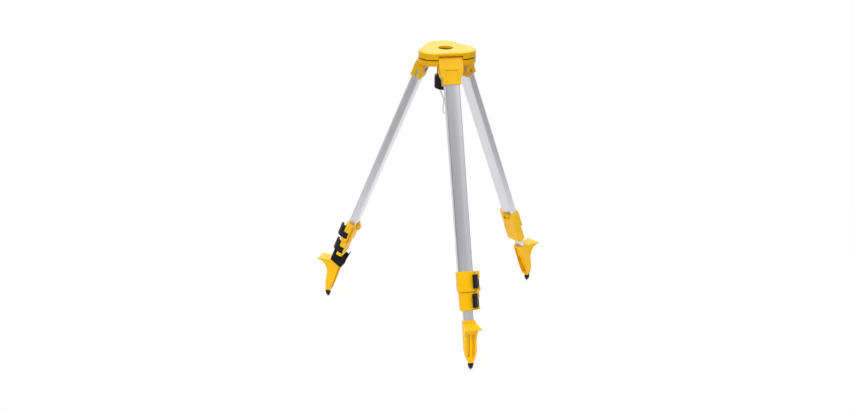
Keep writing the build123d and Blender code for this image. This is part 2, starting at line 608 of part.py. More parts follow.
with BuildPart() as plumb_hook:
    eye_bottom = HOOK_EYE_HEIGHT - HOOK_EYE
    bowl = eye_bottom - HOOK_DROP + HOOK_HALF_WIDTH
    with Locations(Plane(origin=(0, 0, HOOK_EYE_HEIGHT), z_dir=(0, 1, 0))):
        Torus(HOOK_EYE, HOOK_WIRE)
    with BuildLine(Plane.XZ):
        shank = FilletPolyline(
            (0, eye_bottom), (-HOOK_HALF_WIDTH, eye_bottom - HOOK_BEND), (-HOOK_HALF_WIDTH, bowl),
            radius=HOOK_BEND_RADIUS,
        )
        ThreePointArc((-HOOK_HALF_WIDTH, bowl), (0, bowl - HOOK_HALF_WIDTH), (HOOK_HALF_WIDTH, bowl))
        Line((HOOK_HALF_WIDTH, bowl), (HOOK_HALF_WIDTH, bowl + HOOK_TIP))
    with BuildSketch(Plane(origin=shank @ 0, z_dir=shank % 0)):
        Circle(HOOK_WIRE)
    sweep()
    with Locations((HOOK_HALF_WIDTH, 0, bowl + HOOK_TIP)):
        Sphere(HOOK_WIRE)
save(plumb_hook, "plumb_hook")


def make_hinge_block(name, leg):
    """Block with a wide knuckle on the hinge pin, a stop pad and a socket for the upper tube."""
    stop_height = HINGE_DROP - PLATE_WEB - STOP_GAP
    flare = KNUCKLE_WIDTH / 2 - BLOCK_HALF
    flare_radius = (flare**2 + (BLOCK_NECK - BLOCK_SHOULDER) ** 2) / (2 * flare)
    with BuildPart() as block:
        with BuildSketch(side_plane(leg)):
            Polygon(
                from_pin(0, stop_height),
                from_pin(STOP_REACH, stop_height),
                from_pin(*BROW),
                (BLOCK_FRONT - BLOCK_FOLD_IN, -BLOCK_FOLD),
                (BLOCK_FRONT, -BLOCK_LENGTH),
                (-BOLT_SEAT, -BLOCK_LENGTH),
                (-BOLT_SEAT, -BLOCK_WAIST_END[1]),
                (-BLOCK_WAIST, -BLOCK_WAIST_END[0]),
                (-BLOCK_WAIST, -KNUCKLE_RADIUS),
                (-TUBE_OFFSET - KNUCKLE_RADIUS, 0),
            )
            with Locations((-TUBE_OFFSET, 0)):
                Circle(KNUCKLE_RADIUS)
        extrude(amount=KNUCKLE_WIDTH / 2, both=True)
        with BuildSketch(face_plane(leg)):
            with Locations((0, (BLOCK_LENGTH - BLOCK_SHOULDER) / 2)):
                Rectangle(KNUCKLE_WIDTH, BLOCK_LENGTH + BLOCK_SHOULDER)
            with Locations((0, -BLOCK_SHOULDER)):
                Rectangle(2 * BLOCK_HALF, 2 * BLOCK_LENGTH)
            for side in (-1, 1):
                with BuildLine():
                    Polyline(
                        (side * BLOCK_HALF, -BLOCK_NECK),
                        (side * BLOCK_HALF, -BLOCK_SHOULDER),
                        (side * KNUCKLE_WIDTH / 2, -BLOCK_SHOULDER),
                    )
                    RadiusArc(
                        (side * KNUCKLE_WIDTH / 2, -BLOCK_SHOULDER),
                        (side * BLOCK_HALF, -BLOCK_NECK),
                        side * flare_radius,
                    )
                make_face()
        extrude(amount=BLOCK_LENGTH, both=True, mode=Mode.INTERSECT)
        outer_face = block.faces().sort_by(Axis(leg.origin, -leg.y_dir))[-1]
        panel = Plane(outer_face.center(), x_dir=leg.x_dir, z_dir=outer_face.normal_at())
        with BuildSketch(panel):
            RectangleRounded(BLOCK_PANEL_WIDTH, BLOCK_PANEL_HEIGHT, BLOCK_PANEL_CORNER)
        extrude(amount=-BLOCK_PANEL_DEPTH, mode=Mode.SUBTRACT)
        with BuildSketch(leg.offset(-BLOCK_ROOF)):
            upper_outline(FIT)
        extrude(amount=-BLOCK_LENGTH, mode=Mode.SUBTRACT)
        with BuildSketch(side_plane(leg)):
            with Locations((0, -BLOCK_LENGTH)):
                Rectangle(BLOCK_SLOT_WIDTH, 2 * (BLOCK_LENGTH - BLOCK_SLOT_TOP))
        extrude(amount=KNUCKLE_WIDTH, both=True, mode=Mode.SUBTRACT)
        with BuildSketch(face_plane(leg)):
            with Locations((0, -BOLT_STATION)):
                Circle(BOLT_RADIUS + FIT)
        extrude(amount=-BLOCK_LENGTH, mode=Mode.SUBTRACT)
        with BuildSketch(side_plane(leg)):
            with Locations((-TUBE_OFFSET, 0)):
                Circle(PIN_RADIUS + RUN)
        extrude(amount=KNUCKLE_WIDTH, both=True, mode=Mode.SUBTRACT)
    save(block, name)


def make_tube_bolts(name, leg):
    """Two short bolts, through the hinge block and through the upper clamp, into the tube's inner wall."""
    with BuildPart() as bolts:
        for distance in BOLT_STATIONS:
            with BuildSketch(face_plane(leg).offset(-BOLT_END)):
                with Locations((0, -distance)):
                    Circle(BOLT_RADIUS)
            extrude(amount=BOLT_END - BOLT_SEAT)
            with BuildSketch(face_plane(leg).offset(-BOLT_SEAT)):
                with Locations((0, -distance)):
                    RegularPolygon(BOLT_HEAD_FLATS / 2, 6, major_radius=False)
            extrude(amount=-BOLT_HEAD_HEIGHT)
    save(bolts, name)


def make_upper_tube(name, leg):
    """Upper tube, an extrusion with a raised outer panel."""
    with BuildPart() as tube:
        with BuildSketch(leg.offset(-BLOCK_ROOF)):
            upper_outline()
            middle_room()
            for side in (-1, 1):
                with Locations((side * (PANEL_WIDTH + GROOVE_WIDTH) / 2, -UPPER_DEPTH / 2)):
                    Rectangle(GROOVE_WIDTH, 2 * GROOVE_DEPTH, mode=Mode.SUBTRACT)
        extrude(amount=BLOCK_ROOF - UPPER_TUBE_END)
        with BuildSketch(face_plane(leg)):
            for distance in BOLT_STATIONS:
                with Locations((0, -distance)):
                    Circle(BOLT_RADIUS + FIT)
        extrude(amount=-UPPER_DEPTH, mode=Mode.SUBTRACT)
    save(tube, name)


def make_middle_tube(name, leg):
    """Middle tube, which slides in the upper one."""
    with BuildPart() as tube:
        with BuildSketch(leg.offset(-MIDDLE_TUBE_TOP)):
            middle_outline()
            lower_room()
        extrude(amount=MIDDLE_TUBE_TOP - MIDDLE_TUBE_END)
    save(tube, name)


def make_lower_tube(name, leg):
    """Lower tube, which slides in the middle one and carries the foot."""
    with BuildPart() as tube:
        with BuildSketch(leg.offset(-LOWER_TUBE_TOP)):
            lower_outline()
            lower_hollow()
        extrude(amount=LOWER_TUBE_TOP - FOOT_TOP - FOOT_SOCKET + FIT)
    save(tube, name)


def make_middle_plug(name, leg):
    """Plug on the middle tube's upper end, which guides it in the upper tube."""
    with BuildPart() as plug:
        with BuildSketch(leg.offset(-PLUG_STATION)):
            middle_room(-SLIDE, Mode.ADD)
        extrude(amount=-PLUG_FLANGE)
        with BuildSketch(leg.offset(-MIDDLE_TUBE_TOP)):
            lower_room(-FIT, Mode.ADD)
        extrude(amount=-PLUG_SPIGOT)
    save(plug, name)


def make_lower_plug(name, leg):
    """Plug on the lower tube's upper end, which guides it in the middle tube."""
    with BuildPart() as plug:
        with BuildSketch(leg.offset(-LOWER_PLUG_STATION)):
            lower_room(-SLIDE, Mode.ADD)
        extrude(amount=-PLUG_FLANGE)
        with BuildSketch(leg.offset(-LOWER_TUBE_TOP)):
            lower_hollow(-FIT, Mode.ADD)
        extrude(amount=-PLUG_SPIGOT)
    save(plug, name)


def lever_pin_spot(half, front):
    """Axis of a lever's pin in the leg frame, for a sleeve of that half width and reach."""
    return (half + LEVER_PIN_OUT, LEVER_PIN_BACK - front)


def make_clamp(name, leg, top, height, ear, half, front, back, seat, guide, with_lug):
    """Sleeve clamp: fixed on one tube, guiding the next, with two ears for its lever."""
    pin = lever_pin_spot(half, front)
    end = top + height - SEAM
    ear_top = top + SEAM
    ear_end = end - SEAM
    up_leg = Axis(leg.origin, leg.z_dir)
    with BuildPart() as clamp:
        with BuildSketch(leg.offset(-top)):
            with Locations((0, (back - front) / 2)):
                RectangleRounded(2 * half, front + back, CLAMP_CORNER)
        extrude(amount=top - end)
        chamfer(clamp.faces().sort_by(up_leg)[-1].edges(), CLAMP_EDGE)
        chamfer(clamp.faces().sort_by(up_leg)[0].edges(), CLAMP_EDGE)
        with BuildSketch(leg.offset(-ear_top)):
            with Locations(((half + EAR_REACH) / 2, pin[1])):
                RectangleRounded(half + EAR_REACH, EAR_WIDTH, EAR_CORNER)
        extrude(amount=ear_top - ear_end)
        with BuildSketch(leg.offset(-ear_top - ear)):
            with Locations((half + EAR_REACH, pin[1] + LEVER_BARREL_RADIUS + SEAM - EAR_WIDTH / 2)):
                Rectangle(2 * EAR_REACH, EAR_WIDTH)
        extrude(amount=-LEVER_HEIGHT - 2 * SEAM, mode=Mode.SUBTRACT)
        if with_lug:
            with BuildSketch(face_plane(leg)):
                with Locations((0, -top - LUG_HEIGHT / 2)):
                    RectangleRounded(LUG_WIDTH, LUG_HEIGHT, LUG_ROUND)
            extrude(amount=-back - LUG_REACH)
        with BuildSketch(leg.offset(-top)):
            seat(FIT)
        extrude(amount=CLAMP_NECK - height, mode=Mode.SUBTRACT)
        with BuildSketch(leg.offset(-top)):
            guide(SLIDE)
        extrude(amount=-height, mode=Mode.SUBTRACT)
        with BuildSketch(leg.offset(-top)):
            with Locations(pin):
                Circle(LEVER_PIN_RADIUS + FIT)
        extrude(amount=-height, mode=Mode.SUBTRACT)
        if with_lug:
            with BuildSketch(face_plane(leg).offset(-BOLT_SEAT)):
                with Locations((0, -CLAMP_BOLT_STATION)):
                    Circle(LUG_RECESS_RADIUS)
            extrude(amount=-back - LUG_REACH, mode=Mode.SUBTRACT)
            with BuildSketch(face_plane(leg)):
                with Locations((0, -CLAMP_BOLT_STATION)):
                    Circle(BOLT_RADIUS + FIT)
            extrude(amount=-back - LUG_REACH, mode=Mode.SUBTRACT)
    save(clamp, name)


def make_lever(name, leg, top, ear, half, front):
    """Clamp lever, which turns on its pin and folds round the sleeve's outer right corner."""
    pin = lever_pin_spot(half, front)
    bend = [(half + across, inward - front) for across, inward in LEVER_OUTLINE]
    barrel_top = top + ear + 2 * SEAM
    tab_top = barrel_top - LEVER_TAB_RISE
    with BuildPart() as lever:
        with BuildSketch(leg.offset(-tab_top)):
            with BuildLine():
                FilletPolyline(*bend, radius=LEVER_ROUND)
                Line(bend[-1], bend[0])
            make_face()
        extrude(amount=-LEVER_TAB_HEIGHT)
        ends = lever.faces().sort_by(Axis(leg.origin, leg.z_dir))
        chamfer(ends[0].edges() + ends[-1].edges(), LEVER_EDGE)
        with BuildSketch(leg.offset(-barrel_top)):
            with Locations(pin):
                Circle(LEVER_BARREL_RADIUS)
            Polygon(
                (pin[0] - LEVER_BARREL_RADIUS, pin[1]),
                (bend[-1][0], bend[-1][1] - LEVER_EDGE),
                (bend[0][0], bend[0][1] - LEVER_EDGE),
                (pin[0] + LEVER_BARREL_RADIUS, pin[1]),
            )
        extrude(amount=-LEVER_HEIGHT)
        with BuildSketch(leg.offset(-barrel_top)):
            with Locations(pin):
                Circle(LEVER_PIN_RADIUS + RUN)
        extrude(amount=-LEVER_HEIGHT, mode=Mode.SUBTRACT)
    save(lever, name)


def make_lever_pin(name, leg, top, height, half, front):
    """Pin of a clamp lever, flush in the clamp's ears."""
    with BuildPart() as pin:
        with BuildSketch(leg.offset(-top - SEAM)):
            with Locations(lever_pin_spot(half, front)):
                Circle(LEVER_PIN_RADIUS)
        extrude(amount=3 * SEAM - height)
    save(pin, name)


def make_foot(name, leg):
    """Foot with a pedal, an open channel on the inner face and two grooves down the toe."""
    level = tip_plane(leg).offset(TIP_LENGTH)
    with BuildPart() as core:
        with BuildSketch(side_plane(leg)):
            Polygon(
                (FOOT_FRONT, -FOOT_TOP),
                (FOOT_FRONT, -FOOT_TOP - FOOT_STRAIGHT),
                (-FOOT_TOE_FRONT, -TIP_STATION),
                (-FOOT_TOE_BACK, -TIP_STATION),
                (-FOOT_BACK, -FOOT_TOP),
            )
        extrude(amount=FOOT_HALF_WIDTH, both=True)
        with BuildSketch(face_plane(leg)):
            with BuildLine():
                Polyline(
                    (FOOT_END_HALF, -FOOT_TOP - FOOT_END),
                    (FOOT_END_HALF, -TIP_STATION),
                    (-FOOT_END_HALF, -TIP_STATION),
                    (-FOOT_END_HALF, -FOOT_TOP - FOOT_END),
                )
                Polyline(
                    (FOOT_HALF_WIDTH, -FOOT_TOP - FOOT_TAPER),
                    (FOOT_HALF_WIDTH, -FOOT_TOP),
                    (-FOOT_HALF_WIDTH, -FOOT_TOP),
                    (-FOOT_HALF_WIDTH, -FOOT_TOP - FOOT_TAPER),
                )
                for side in (-1, 1):
                    ThreePointArc(
                        (side * FOOT_HALF_WIDTH, -FOOT_TOP - FOOT_TAPER),
                        (side * (FOOT_HALF_WIDTH - FOOT_BULGE[0]), -FOOT_TOP - FOOT_BULGE[1]),
                        (side * FOOT_END_HALF, -FOOT_TOP - FOOT_END),
                    )
            make_face()
        extrude(amount=FOOT_REACH, both=True, mode=Mode.INTERSECT)
        ends = core.faces().filter_by(Axis(leg.origin, leg.z_dir)).edges()
        crossing = core.edges().filter_by(Axis(leg.origin, leg.x_dir))
        fillet([edge for edge in core.edges() if edge not in ends + crossing], FOOT_ROUND)
    with BuildPart() as foot:
        root = -FOOT_TOP - PEDAL_TOP
        under = [(FOOT_FRONT + outward, root - outward * PEDAL_SLOPE - below) for outward, below in PEDAL_UNDER]
        with BuildSketch(side_plane(leg)):
            with BuildLine():
                Spline(*under)
                Polyline(
                    under[-1],
                    (0, under[-1][1]),
                    (0, root + FOOT_FRONT * PEDAL_SLOPE),
                    (PEDAL_FRONT, root - PEDAL_REACH * PEDAL_SLOPE),
                    under[0],
                )
            make_face()
        extrude(amount=PEDAL_EDGE_HALF, both=True)
        with BuildSketch(leg.offset(-FOOT_TOP)):
            Polygon(
                (-FOOT_HALF_WIDTH, 0),
                (FOOT_HALF_WIDTH, 0),
                (FOOT_HALF_WIDTH, -FOOT_FRONT),
                (PEDAL_EDGE_HALF, -PEDAL_FRONT),
                (-PEDAL_EDGE_HALF, -PEDAL_FRONT),
                (-FOOT_HALF_WIDTH, -FOOT_FRONT),
            )
        extrude(amount=-FOOT_REACH, mode=Mode.INTERSECT)
        add(core.part)
        split(bisect_by=level, keep=Keep.TOP)
        with BuildSketch(leg.offset(-FOOT_TOP)):
            lower_outline(FIT)
        extrude(amount=-FOOT_SOCKET, mode=Mode.SUBTRACT)
        for start, floor in ((CHANNEL_TOP, CHANNEL_FLOOR), (CHANNEL_DEEP, CHANNEL_DEEP_FLOOR)):
            with BuildSketch(face_plane(leg).offset(-floor)):
                Polygon(
                    (CHANNEL_HALF_WIDTH, -FOOT_TOP - start),
                    (CHANNEL_HALF_WIDTH, -FOOT_TOP - FOOT_TAPER),
                    (CHANNEL_END_HALF, -FOOT_TOP - CHANNEL_END),
                    (-CHANNEL_END_HALF, -FOOT_TOP - CHANNEL_END),
                    (-CHANNEL_HALF_WIDTH, -FOOT_TOP - FOOT_TAPER),
                    (-CHANNEL_HALF_WIDTH, -FOOT_TOP - start),
                )
            extrude(amount=-FOOT_REACH, mode=Mode.SUBTRACT)
        fall = FOOT_REACH - FOOT_STRAIGHT
        toe = Plane(
            origin=leg.from_local_coords((0, -FOOT_FRONT, -FOOT_TOP - FOOT_STRAIGHT)),
            x_dir=leg.x_dir,
            z_dir=-leg.y_dir * fall - leg.z_dir * (FOOT_FRONT + FOOT_TOE_FRONT),
        )
        with BuildSketch(toe.offset(PEDAL_REACH)):
            for side in (-1, 1):
                with Locations((side * (RIDGE_HALF_WIDTH + GROOVED_WIDTH / 2), GROOVED_RISE - GROOVED_LENGTH / 2)):
                    RectangleRounded(GROOVED_WIDTH, GROOVED_LENGTH, FOOT_ROUND)
        extrude(amount=-PEDAL_REACH - GROOVED_DEPTH, mode=Mode.SUBTRACT)
        with BuildSketch(level):
            Circle(TIP_STEM_RADIUS + FIT)
        extrude(amount=TIP_STEM_LENGTH + FIT, mode=Mode.SUBTRACT)
    save(foot, name)


def make_foot_tip(name, leg):
    """Pointed tip, upright under the spread leg's foot, with a stem in the foot."""
    level = tip_plane(leg)
    upright = Plane(origin=level.origin, x_dir=level.x_dir, z_dir=-level.y_dir)
    with BuildPart() as tip:
        with BuildSketch(upright):
            with BuildLine():
                ThreePointArc((0, 0), TIP_BULGE, (TIP_RADIUS, TIP_SHOULDER))
                Polyline(
                    (TIP_RADIUS, TIP_SHOULDER),
                    (TIP_RADIUS, TIP_LENGTH),
                    (TIP_STEM_RADIUS, TIP_LENGTH),
                    (TIP_STEM_RADIUS, TIP_LENGTH + TIP_STEM_LENGTH),
                    (0, TIP_LENGTH + TIP_STEM_LENGTH),
                    (0, 0),
                )
            make_face()
        revolve(axis=Axis(level.origin, UP))
    save(tip, name)


def make_strap(name, leg):
    """Tie strap: a ring hung askew round the foot's upper end, with a loose end that points up beside the leg."""
    tilt = radians(STRAP_TILT)
    lower_edge = Plane(
        origin=leg.from_local_coords((0, 0, -STRAP_STATION)),
        x_dir=leg.x_dir,
        z_dir=leg.z_dir * cos(tilt) + leg.y_dir * sin(tilt),
    )
    depth = STRAP_OUTER + STRAP_INNER
    with BuildPart() as strap:
        with BuildSketch(leg.offset(-STRAP_STATION - depth)):
            with Locations((0, (STRAP_INNER - STRAP_OUTER) / 2)):
                RectangleRounded(2 * STRAP_HALF_WIDTH, depth, STRAP_CORNER)
                RectangleRounded(
                    2 * (STRAP_HALF_WIDTH - STRAP_THICKNESS),
                    depth - 2 * STRAP_THICKNESS,
                    STRAP_CORNER - STRAP_THICKNESS,
                    mode=Mode.SUBTRACT,
                )
        extrude(amount=STRAP_WIDTH + 2 * depth)
        split(bisect_by=lower_edge, keep=Keep.TOP)
        split(bisect_by=lower_edge.offset(STRAP_WIDTH * cos(tilt)), keep=Keep.BOTTOM)
        with BuildSketch(side_plane(leg).offset(-STRAP_HALF_WIDTH - STRAP_THICKNESS / 2)):
            Polygon(*[(-STRAP_INNER - inward, above - FOOT_TOP) for inward, above in STRAP_LOOSE_END])
        extrude(amount=STRAP_THICKNESS)
    save(strap, name)


# Legs
UPPER_HALF = UPPER_WIDTH / 2 + CLAMP_WALL
UPPER_FRONT = UPPER_FACE + CLAMP_WALL
UPPER_BACK = UPPER_DEPTH / 2 + CLAMP_WALL
LOWER_HALF = MIDDLE_WIDTH / 2 + CLAMP_WALL
LOWER_FRONT = MIDDLE_DEPTH / 2 + CLAMP_WALL

for side, angle in LEG_ANGLES.items():
    leg = leg_plane(angle)
    make_hinge_block(f"{side}_hinge_block", leg)
    make_tube_bolts(f"{side}_tube_bolts", leg)
    make_upper_tube(f"{side}_upper_tube", leg)
    make_clamp(
        f"{side}_upper_clamp", leg, UPPER_CLAMP_TOP, UPPER_CLAMP_HEIGHT, UPPER_EAR,
        UPPER_HALF, UPPER_FRONT, UPPER_BACK, upper_outline, middle_outline, True,
    )
    make_lever(f"{side}_upper_lever", leg, UPPER_CLAMP_TOP, UPPER_EAR, UPPER_HALF, UPPER_FRONT)
    make_lever_pin(
        f"{side}_upper_lever_pin", leg, UPPER_CLAMP_TOP, UPPER_CLAMP_HEIGHT, UPPER_HALF, UPPER_FRONT
    )
    make_middle_tube(f"{side}_middle_tube", leg)
    make_middle_plug(f"{side}_middle_plug", leg)
    make_clamp(
        f"{side}_lower_clamp", leg, LOWER_CLAMP_TOP, LOWER_CLAMP_HEIGHT, LOWER_EAR,
        LOWER_HALF, LOWER_FRONT, LOWER_FRONT, middle_outline, lower_outline, False,
    )
    make_lever(f"{side}_lower_lever", leg, LOWER_CLAMP_TOP, LOWER_EAR, LOWER_HALF, LOWER_FRONT)
    make_lever_pin(
        f"{side}_lower_lever_pin", leg, LOWER_CLAMP_TOP, LOWER_CLAMP_HEIGHT, LOWER_HALF, LOWER_FRONT
    )
    make_lower_tube(f"{side}_lower_tube", leg)
    make_lower_plug(f"{side}_lower_plug", leg)
    make_foot(f"{side}_foot", leg)
    make_foot_tip(f"{side}_foot_tip", leg)

make_strap("leg_strap", leg_plane(LEG_ANGLES["left"]))
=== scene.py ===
# %% [markdown]
# # A surveying tripod, finished in Blender
#
# The CAD model already holds every hard piece at its real size and in its place: the two-part head, three
# telescoping legs with clamps, levers and feet, and the screw that holds the instrument. Blender adds what the
# eye reads as material, and the one soft piece, a tie strap of woven webbing. All lengths are in metres.

# %% Load the CAD frame
from math import atan2, cos, hypot, pi, radians, sin

import bpy
from mathutils import Matrix, Vector


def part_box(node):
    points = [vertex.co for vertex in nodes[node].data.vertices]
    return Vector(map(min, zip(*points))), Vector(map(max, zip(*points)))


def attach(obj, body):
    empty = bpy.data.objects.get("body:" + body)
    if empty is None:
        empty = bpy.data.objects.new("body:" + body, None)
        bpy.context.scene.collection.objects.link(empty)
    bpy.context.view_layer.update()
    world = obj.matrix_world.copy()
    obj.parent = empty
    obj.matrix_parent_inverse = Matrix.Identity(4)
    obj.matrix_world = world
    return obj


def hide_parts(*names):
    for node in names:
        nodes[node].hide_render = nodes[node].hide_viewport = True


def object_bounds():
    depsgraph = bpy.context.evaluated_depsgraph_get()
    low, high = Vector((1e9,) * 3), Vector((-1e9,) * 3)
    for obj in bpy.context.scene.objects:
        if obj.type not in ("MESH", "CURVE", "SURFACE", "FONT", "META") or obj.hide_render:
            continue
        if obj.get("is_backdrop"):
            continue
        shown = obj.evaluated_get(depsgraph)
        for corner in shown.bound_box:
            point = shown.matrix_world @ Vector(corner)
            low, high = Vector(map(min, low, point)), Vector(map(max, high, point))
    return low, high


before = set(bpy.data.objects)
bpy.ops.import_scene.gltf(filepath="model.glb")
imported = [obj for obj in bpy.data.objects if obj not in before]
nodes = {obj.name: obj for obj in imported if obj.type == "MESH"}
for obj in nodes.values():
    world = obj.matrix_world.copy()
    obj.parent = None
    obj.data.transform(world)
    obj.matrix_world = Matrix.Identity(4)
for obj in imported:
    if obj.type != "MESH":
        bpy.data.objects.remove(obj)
cad_low, cad_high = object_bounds()
ground = cad_low.z
print(len(nodes), "CAD pieces, head top", round(cad_high.z - ground, 3), "m above the ground")

# %% [markdown]
# ## The camera
#
# The tripod was photographed from a little above the head, about three metres off, with a long lens that keeps
# the legs from splaying. A camera in Blender looks down its own -Z axis, so it is rolled first, then tipped up to
# the horizon less its dip, and last turned to its heading. The three turns stay apart, because each is then a
# number that can be changed by itself.

# %% Camera
CAMERA_PLACE = (-0.6446, -2.8212, 0.7247)
CAMERA_HEADING = radians(12.11)
CAMERA_DIP = radians(20.915)
CAMERA_ROLL = radians(0.598)
SENSOR_WIDTH = 36.0  # millimetres, as is the lens
LENS = 55.27

camera_data = bpy.data.cameras.new("photo_camera")
camera_data.sensor_width = SENSOR_WIDTH
camera_data.lens = LENS
camera = bpy.data.objects.new("photo_camera", camera_data)
bpy.context.scene.collection.objects.link(camera)
camera.matrix_world = (
    Matrix.Translation(CAMERA_PLACE)
    @ Matrix.Rotation(-CAMERA_HEADING, 4, "Z")
    @ Matrix.Rotation(pi / 2 - CAMERA_DIP, 4, "X")
    @ Matrix.Rotation(CAMERA_ROLL, 4, "Z")
)
bpy.context.scene.camera = camera
print("camera", round(Vector(CAMERA_PLACE).length, 2), "m from the head")

# %% [markdown]
# ## The studio
#
# Catalogue pictures are taken in a white cove, where the floor curves up into the wall and no horizon shows.
# Here it is a disc whose rim is extruded outwards and upwards in steps. The floor is a sheet of opal acrylic over
# a light box, as on a product table: the legs that are pulled out below it still show through. The function
# deselects first, because an operator works on everything that is selected, and loading leaves the CAD pieces
# selected.

# %% White cove and light box
FLOOR_RADIUS = 16.0
STAGE_SIDES = 96
COVE_STEPS = ((1.08, 0.25), (1.06, 0.75), (1.03, 1.6), (1.01, 4.4))  # growth and rise of each step
BOX_DEPTH = 4.0


def round_stage(name, level, steps):
    """A disc at a level whose rim is extruded in steps of growth and rise."""
    bpy.ops.object.select_all(action="DESELECT")
    bpy.ops.mesh.primitive_circle_add(vertices=STAGE_SIDES, radius=FLOOR_RADIUS, fill_type="NGON",
                                      location=(0, 0, level))
    stage = bpy.context.object
    stage.name = name
    bpy.ops.object.mode_set(mode="EDIT")
    bpy.ops.mesh.select_all(action="SELECT")
    bpy.ops.mesh.region_to_loop()
    for grow, rise in steps:
        bpy.ops.mesh.extrude_region_move(TRANSFORM_OT_translate={"value": (0, 0, rise)})
        bpy.ops.transform.resize(value=(grow, grow, 1), center_override=(0, 0, 0))
    bpy.ops.object.mode_set(mode="OBJECT")
    bpy.ops.object.shade_smooth()
    stage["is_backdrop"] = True
    return stage


cove = round_stage("studio_cove", ground, COVE_STEPS)
light_box = round_stage("light_box", ground - BOX_DEPTH, ((1, BOX_DEPTH),))
print("cove", len(cove.data.polygons), "faces, light box", len(light_box.data.polygons))

# %% [markdown]
# ## Nodes and colours
#
# Every finish below is a small node tree. One function adds a node, sets it and links it, and a few others add
# the nodes that return in most finishes, so that a material reads as a short recipe. Colours are written as the
# hex values a screen shows, and are turned to the linear values that light is computed in.

# %% Helpers: colours and nodes
def linear(hex_colour):
    """A screen colour such as F5B400 as linear red, green, blue and alpha."""
    channels = [int(hex_colour[i:i + 2], 16) / 255 for i in (0, 2, 4)]
    return (*(c / 12.92 if c <= 0.04045 else ((c + 0.055) / 1.055) ** 2.4 for c in channels), 1)


def add(tree, kind, inputs=(), **settings):
    """Adds a node; inputs are (socket, value) pairs, where a value may be another node's output."""
    made = tree.nodes.new(kind)
    for name, value in settings.items():
        setattr(made, name, value)
    for socket, value in inputs:
        if isinstance(value, bpy.types.NodeSocket):
            tree.links.new(value, made.inputs[socket])
        else:
            made.inputs[socket].default_value = value
    return made


def calc(tree, operation, *values, clamp=False):
    """The result of a Math node."""
    return add(tree, "ShaderNodeMath", enumerate(values), operation=operation, use_clamp=clamp).outputs[0]


def remap(tree, value, start, end):
    """A value moved to another range, from one (value, result) pair to the other."""
    return add(tree, "ShaderNodeMapRange",
               [("Value", value), ("From Min", start[0]), ("From Max", end[0]),
                ("To Min", start[1]), ("To Max", end[1])]).outputs[0]


def ramp(tree, value, low, high):
    """A value as a colour between two (position, hex colour) stops."""
    made = add(tree, "ShaderNodeValToRGB", [("Fac", value)])
    for stop, (position, hex_colour) in zip(made.color_ramp.elements, (low, high)):
        stop.position = position
        stop.color = linear(hex_colour)
    return made.outputs["Color"]


def blend(tree, share, first, second):
    """Two colours mixed by the share of the second; a colour is a hex value or another node's output."""
    first, second = (linear(c) if isinstance(c, str) else c for c in (first, second))
    return add(tree, "ShaderNodeMix", [("Factor", share), ("A", first), ("B", second)],
               data_type="RGBA").outputs["Result"]


def average(tree, share, first, second):
    """Two values mixed by the share of the second."""
    return add(tree, "ShaderNodeMix", [("Factor", share), ("A", first), ("B", second)],
               data_type="FLOAT").outputs["Result"]


print("yellow is", [round(c, 3) for c in linear("F5B400")])


# %% Helpers: patterns and finishes
def own_place(tree):
    """A point's place in its piece's own coordinates, so a pattern moves with the piece."""
    return add(tree, "ShaderNodeTexCoord").outputs["Object"]


def noise(tree, place, size, detail, more=()):
    """Noise with features of about a size in metres."""
    return add(tree, "ShaderNodeTexNoise",
               [("Vector", place), ("Scale", 1 / size), ("Detail", detail), *more]).outputs["Fac"]


def wave_scale(length):
    """The scale at which a wave texture repeats after a length; at a scale of one it is 2 pi / 20."""
    return pi / 10 / length


def openness(tree, size):
    """Near one in the open, and less in a crease of up to a size in metres."""
    return add(tree, "ShaderNodeAmbientOcclusion", [("Distance", size)], samples=6, only_local=True).outputs["AO"]


def finish(name):
    """An empty material: its tree and its output node."""
    material = bpy.data.materials.new(name)
    material.use_nodes = True
    material.node_tree.nodes.clear()
    return material, material.node_tree, material.node_tree.nodes.new("ShaderNodeOutputMaterial")


def surface(tree, out, colour, rough, bump, more=()):
    """Ends a tree: bump is (height, strength, depth), and more holds further sockets of the shader."""
    height, strength, depth = bump
    bumped = add(tree, "ShaderNodeBump", [("Height", height), ("Strength", strength), ("Distance", depth)])
    shader = add(tree, "ShaderNodeBsdfPrincipled",
                 [("Base Color", colour), ("Roughness", rough), ("Normal", bumped.outputs[0]), *more])
    tree.links.new(shader.outputs[0], out.inputs["Surface"])


print("a wave of one millimetre has the scale", round(wave_scale(0.001), 1))

# %% [markdown]
# Opal acrylic and matt white paint scatter all light evenly. Under the tripod the floor is clean and throws light
# back at the feet; further out it is grey, so the head gets less from below. Seen straight or in a reflection the
# grey glows up to the white of a catalogue page, and the shadows of the feet stay. Lamps shine through the sheet.

# %% Opal floor, white wall and light box
CLEAN_RADIUS, GREY_RADIUS = 0.55, 1.5
CLEAN_WHITE, FAR_GREY = "F0F0F0", "4A4A4A"
CLEAN_GLOW, GREY_GLOW = 0.15, 0.95
SEE_THROUGH = 0.7
LEVEL = 0.99  # a face whose normal rises more than this is floor


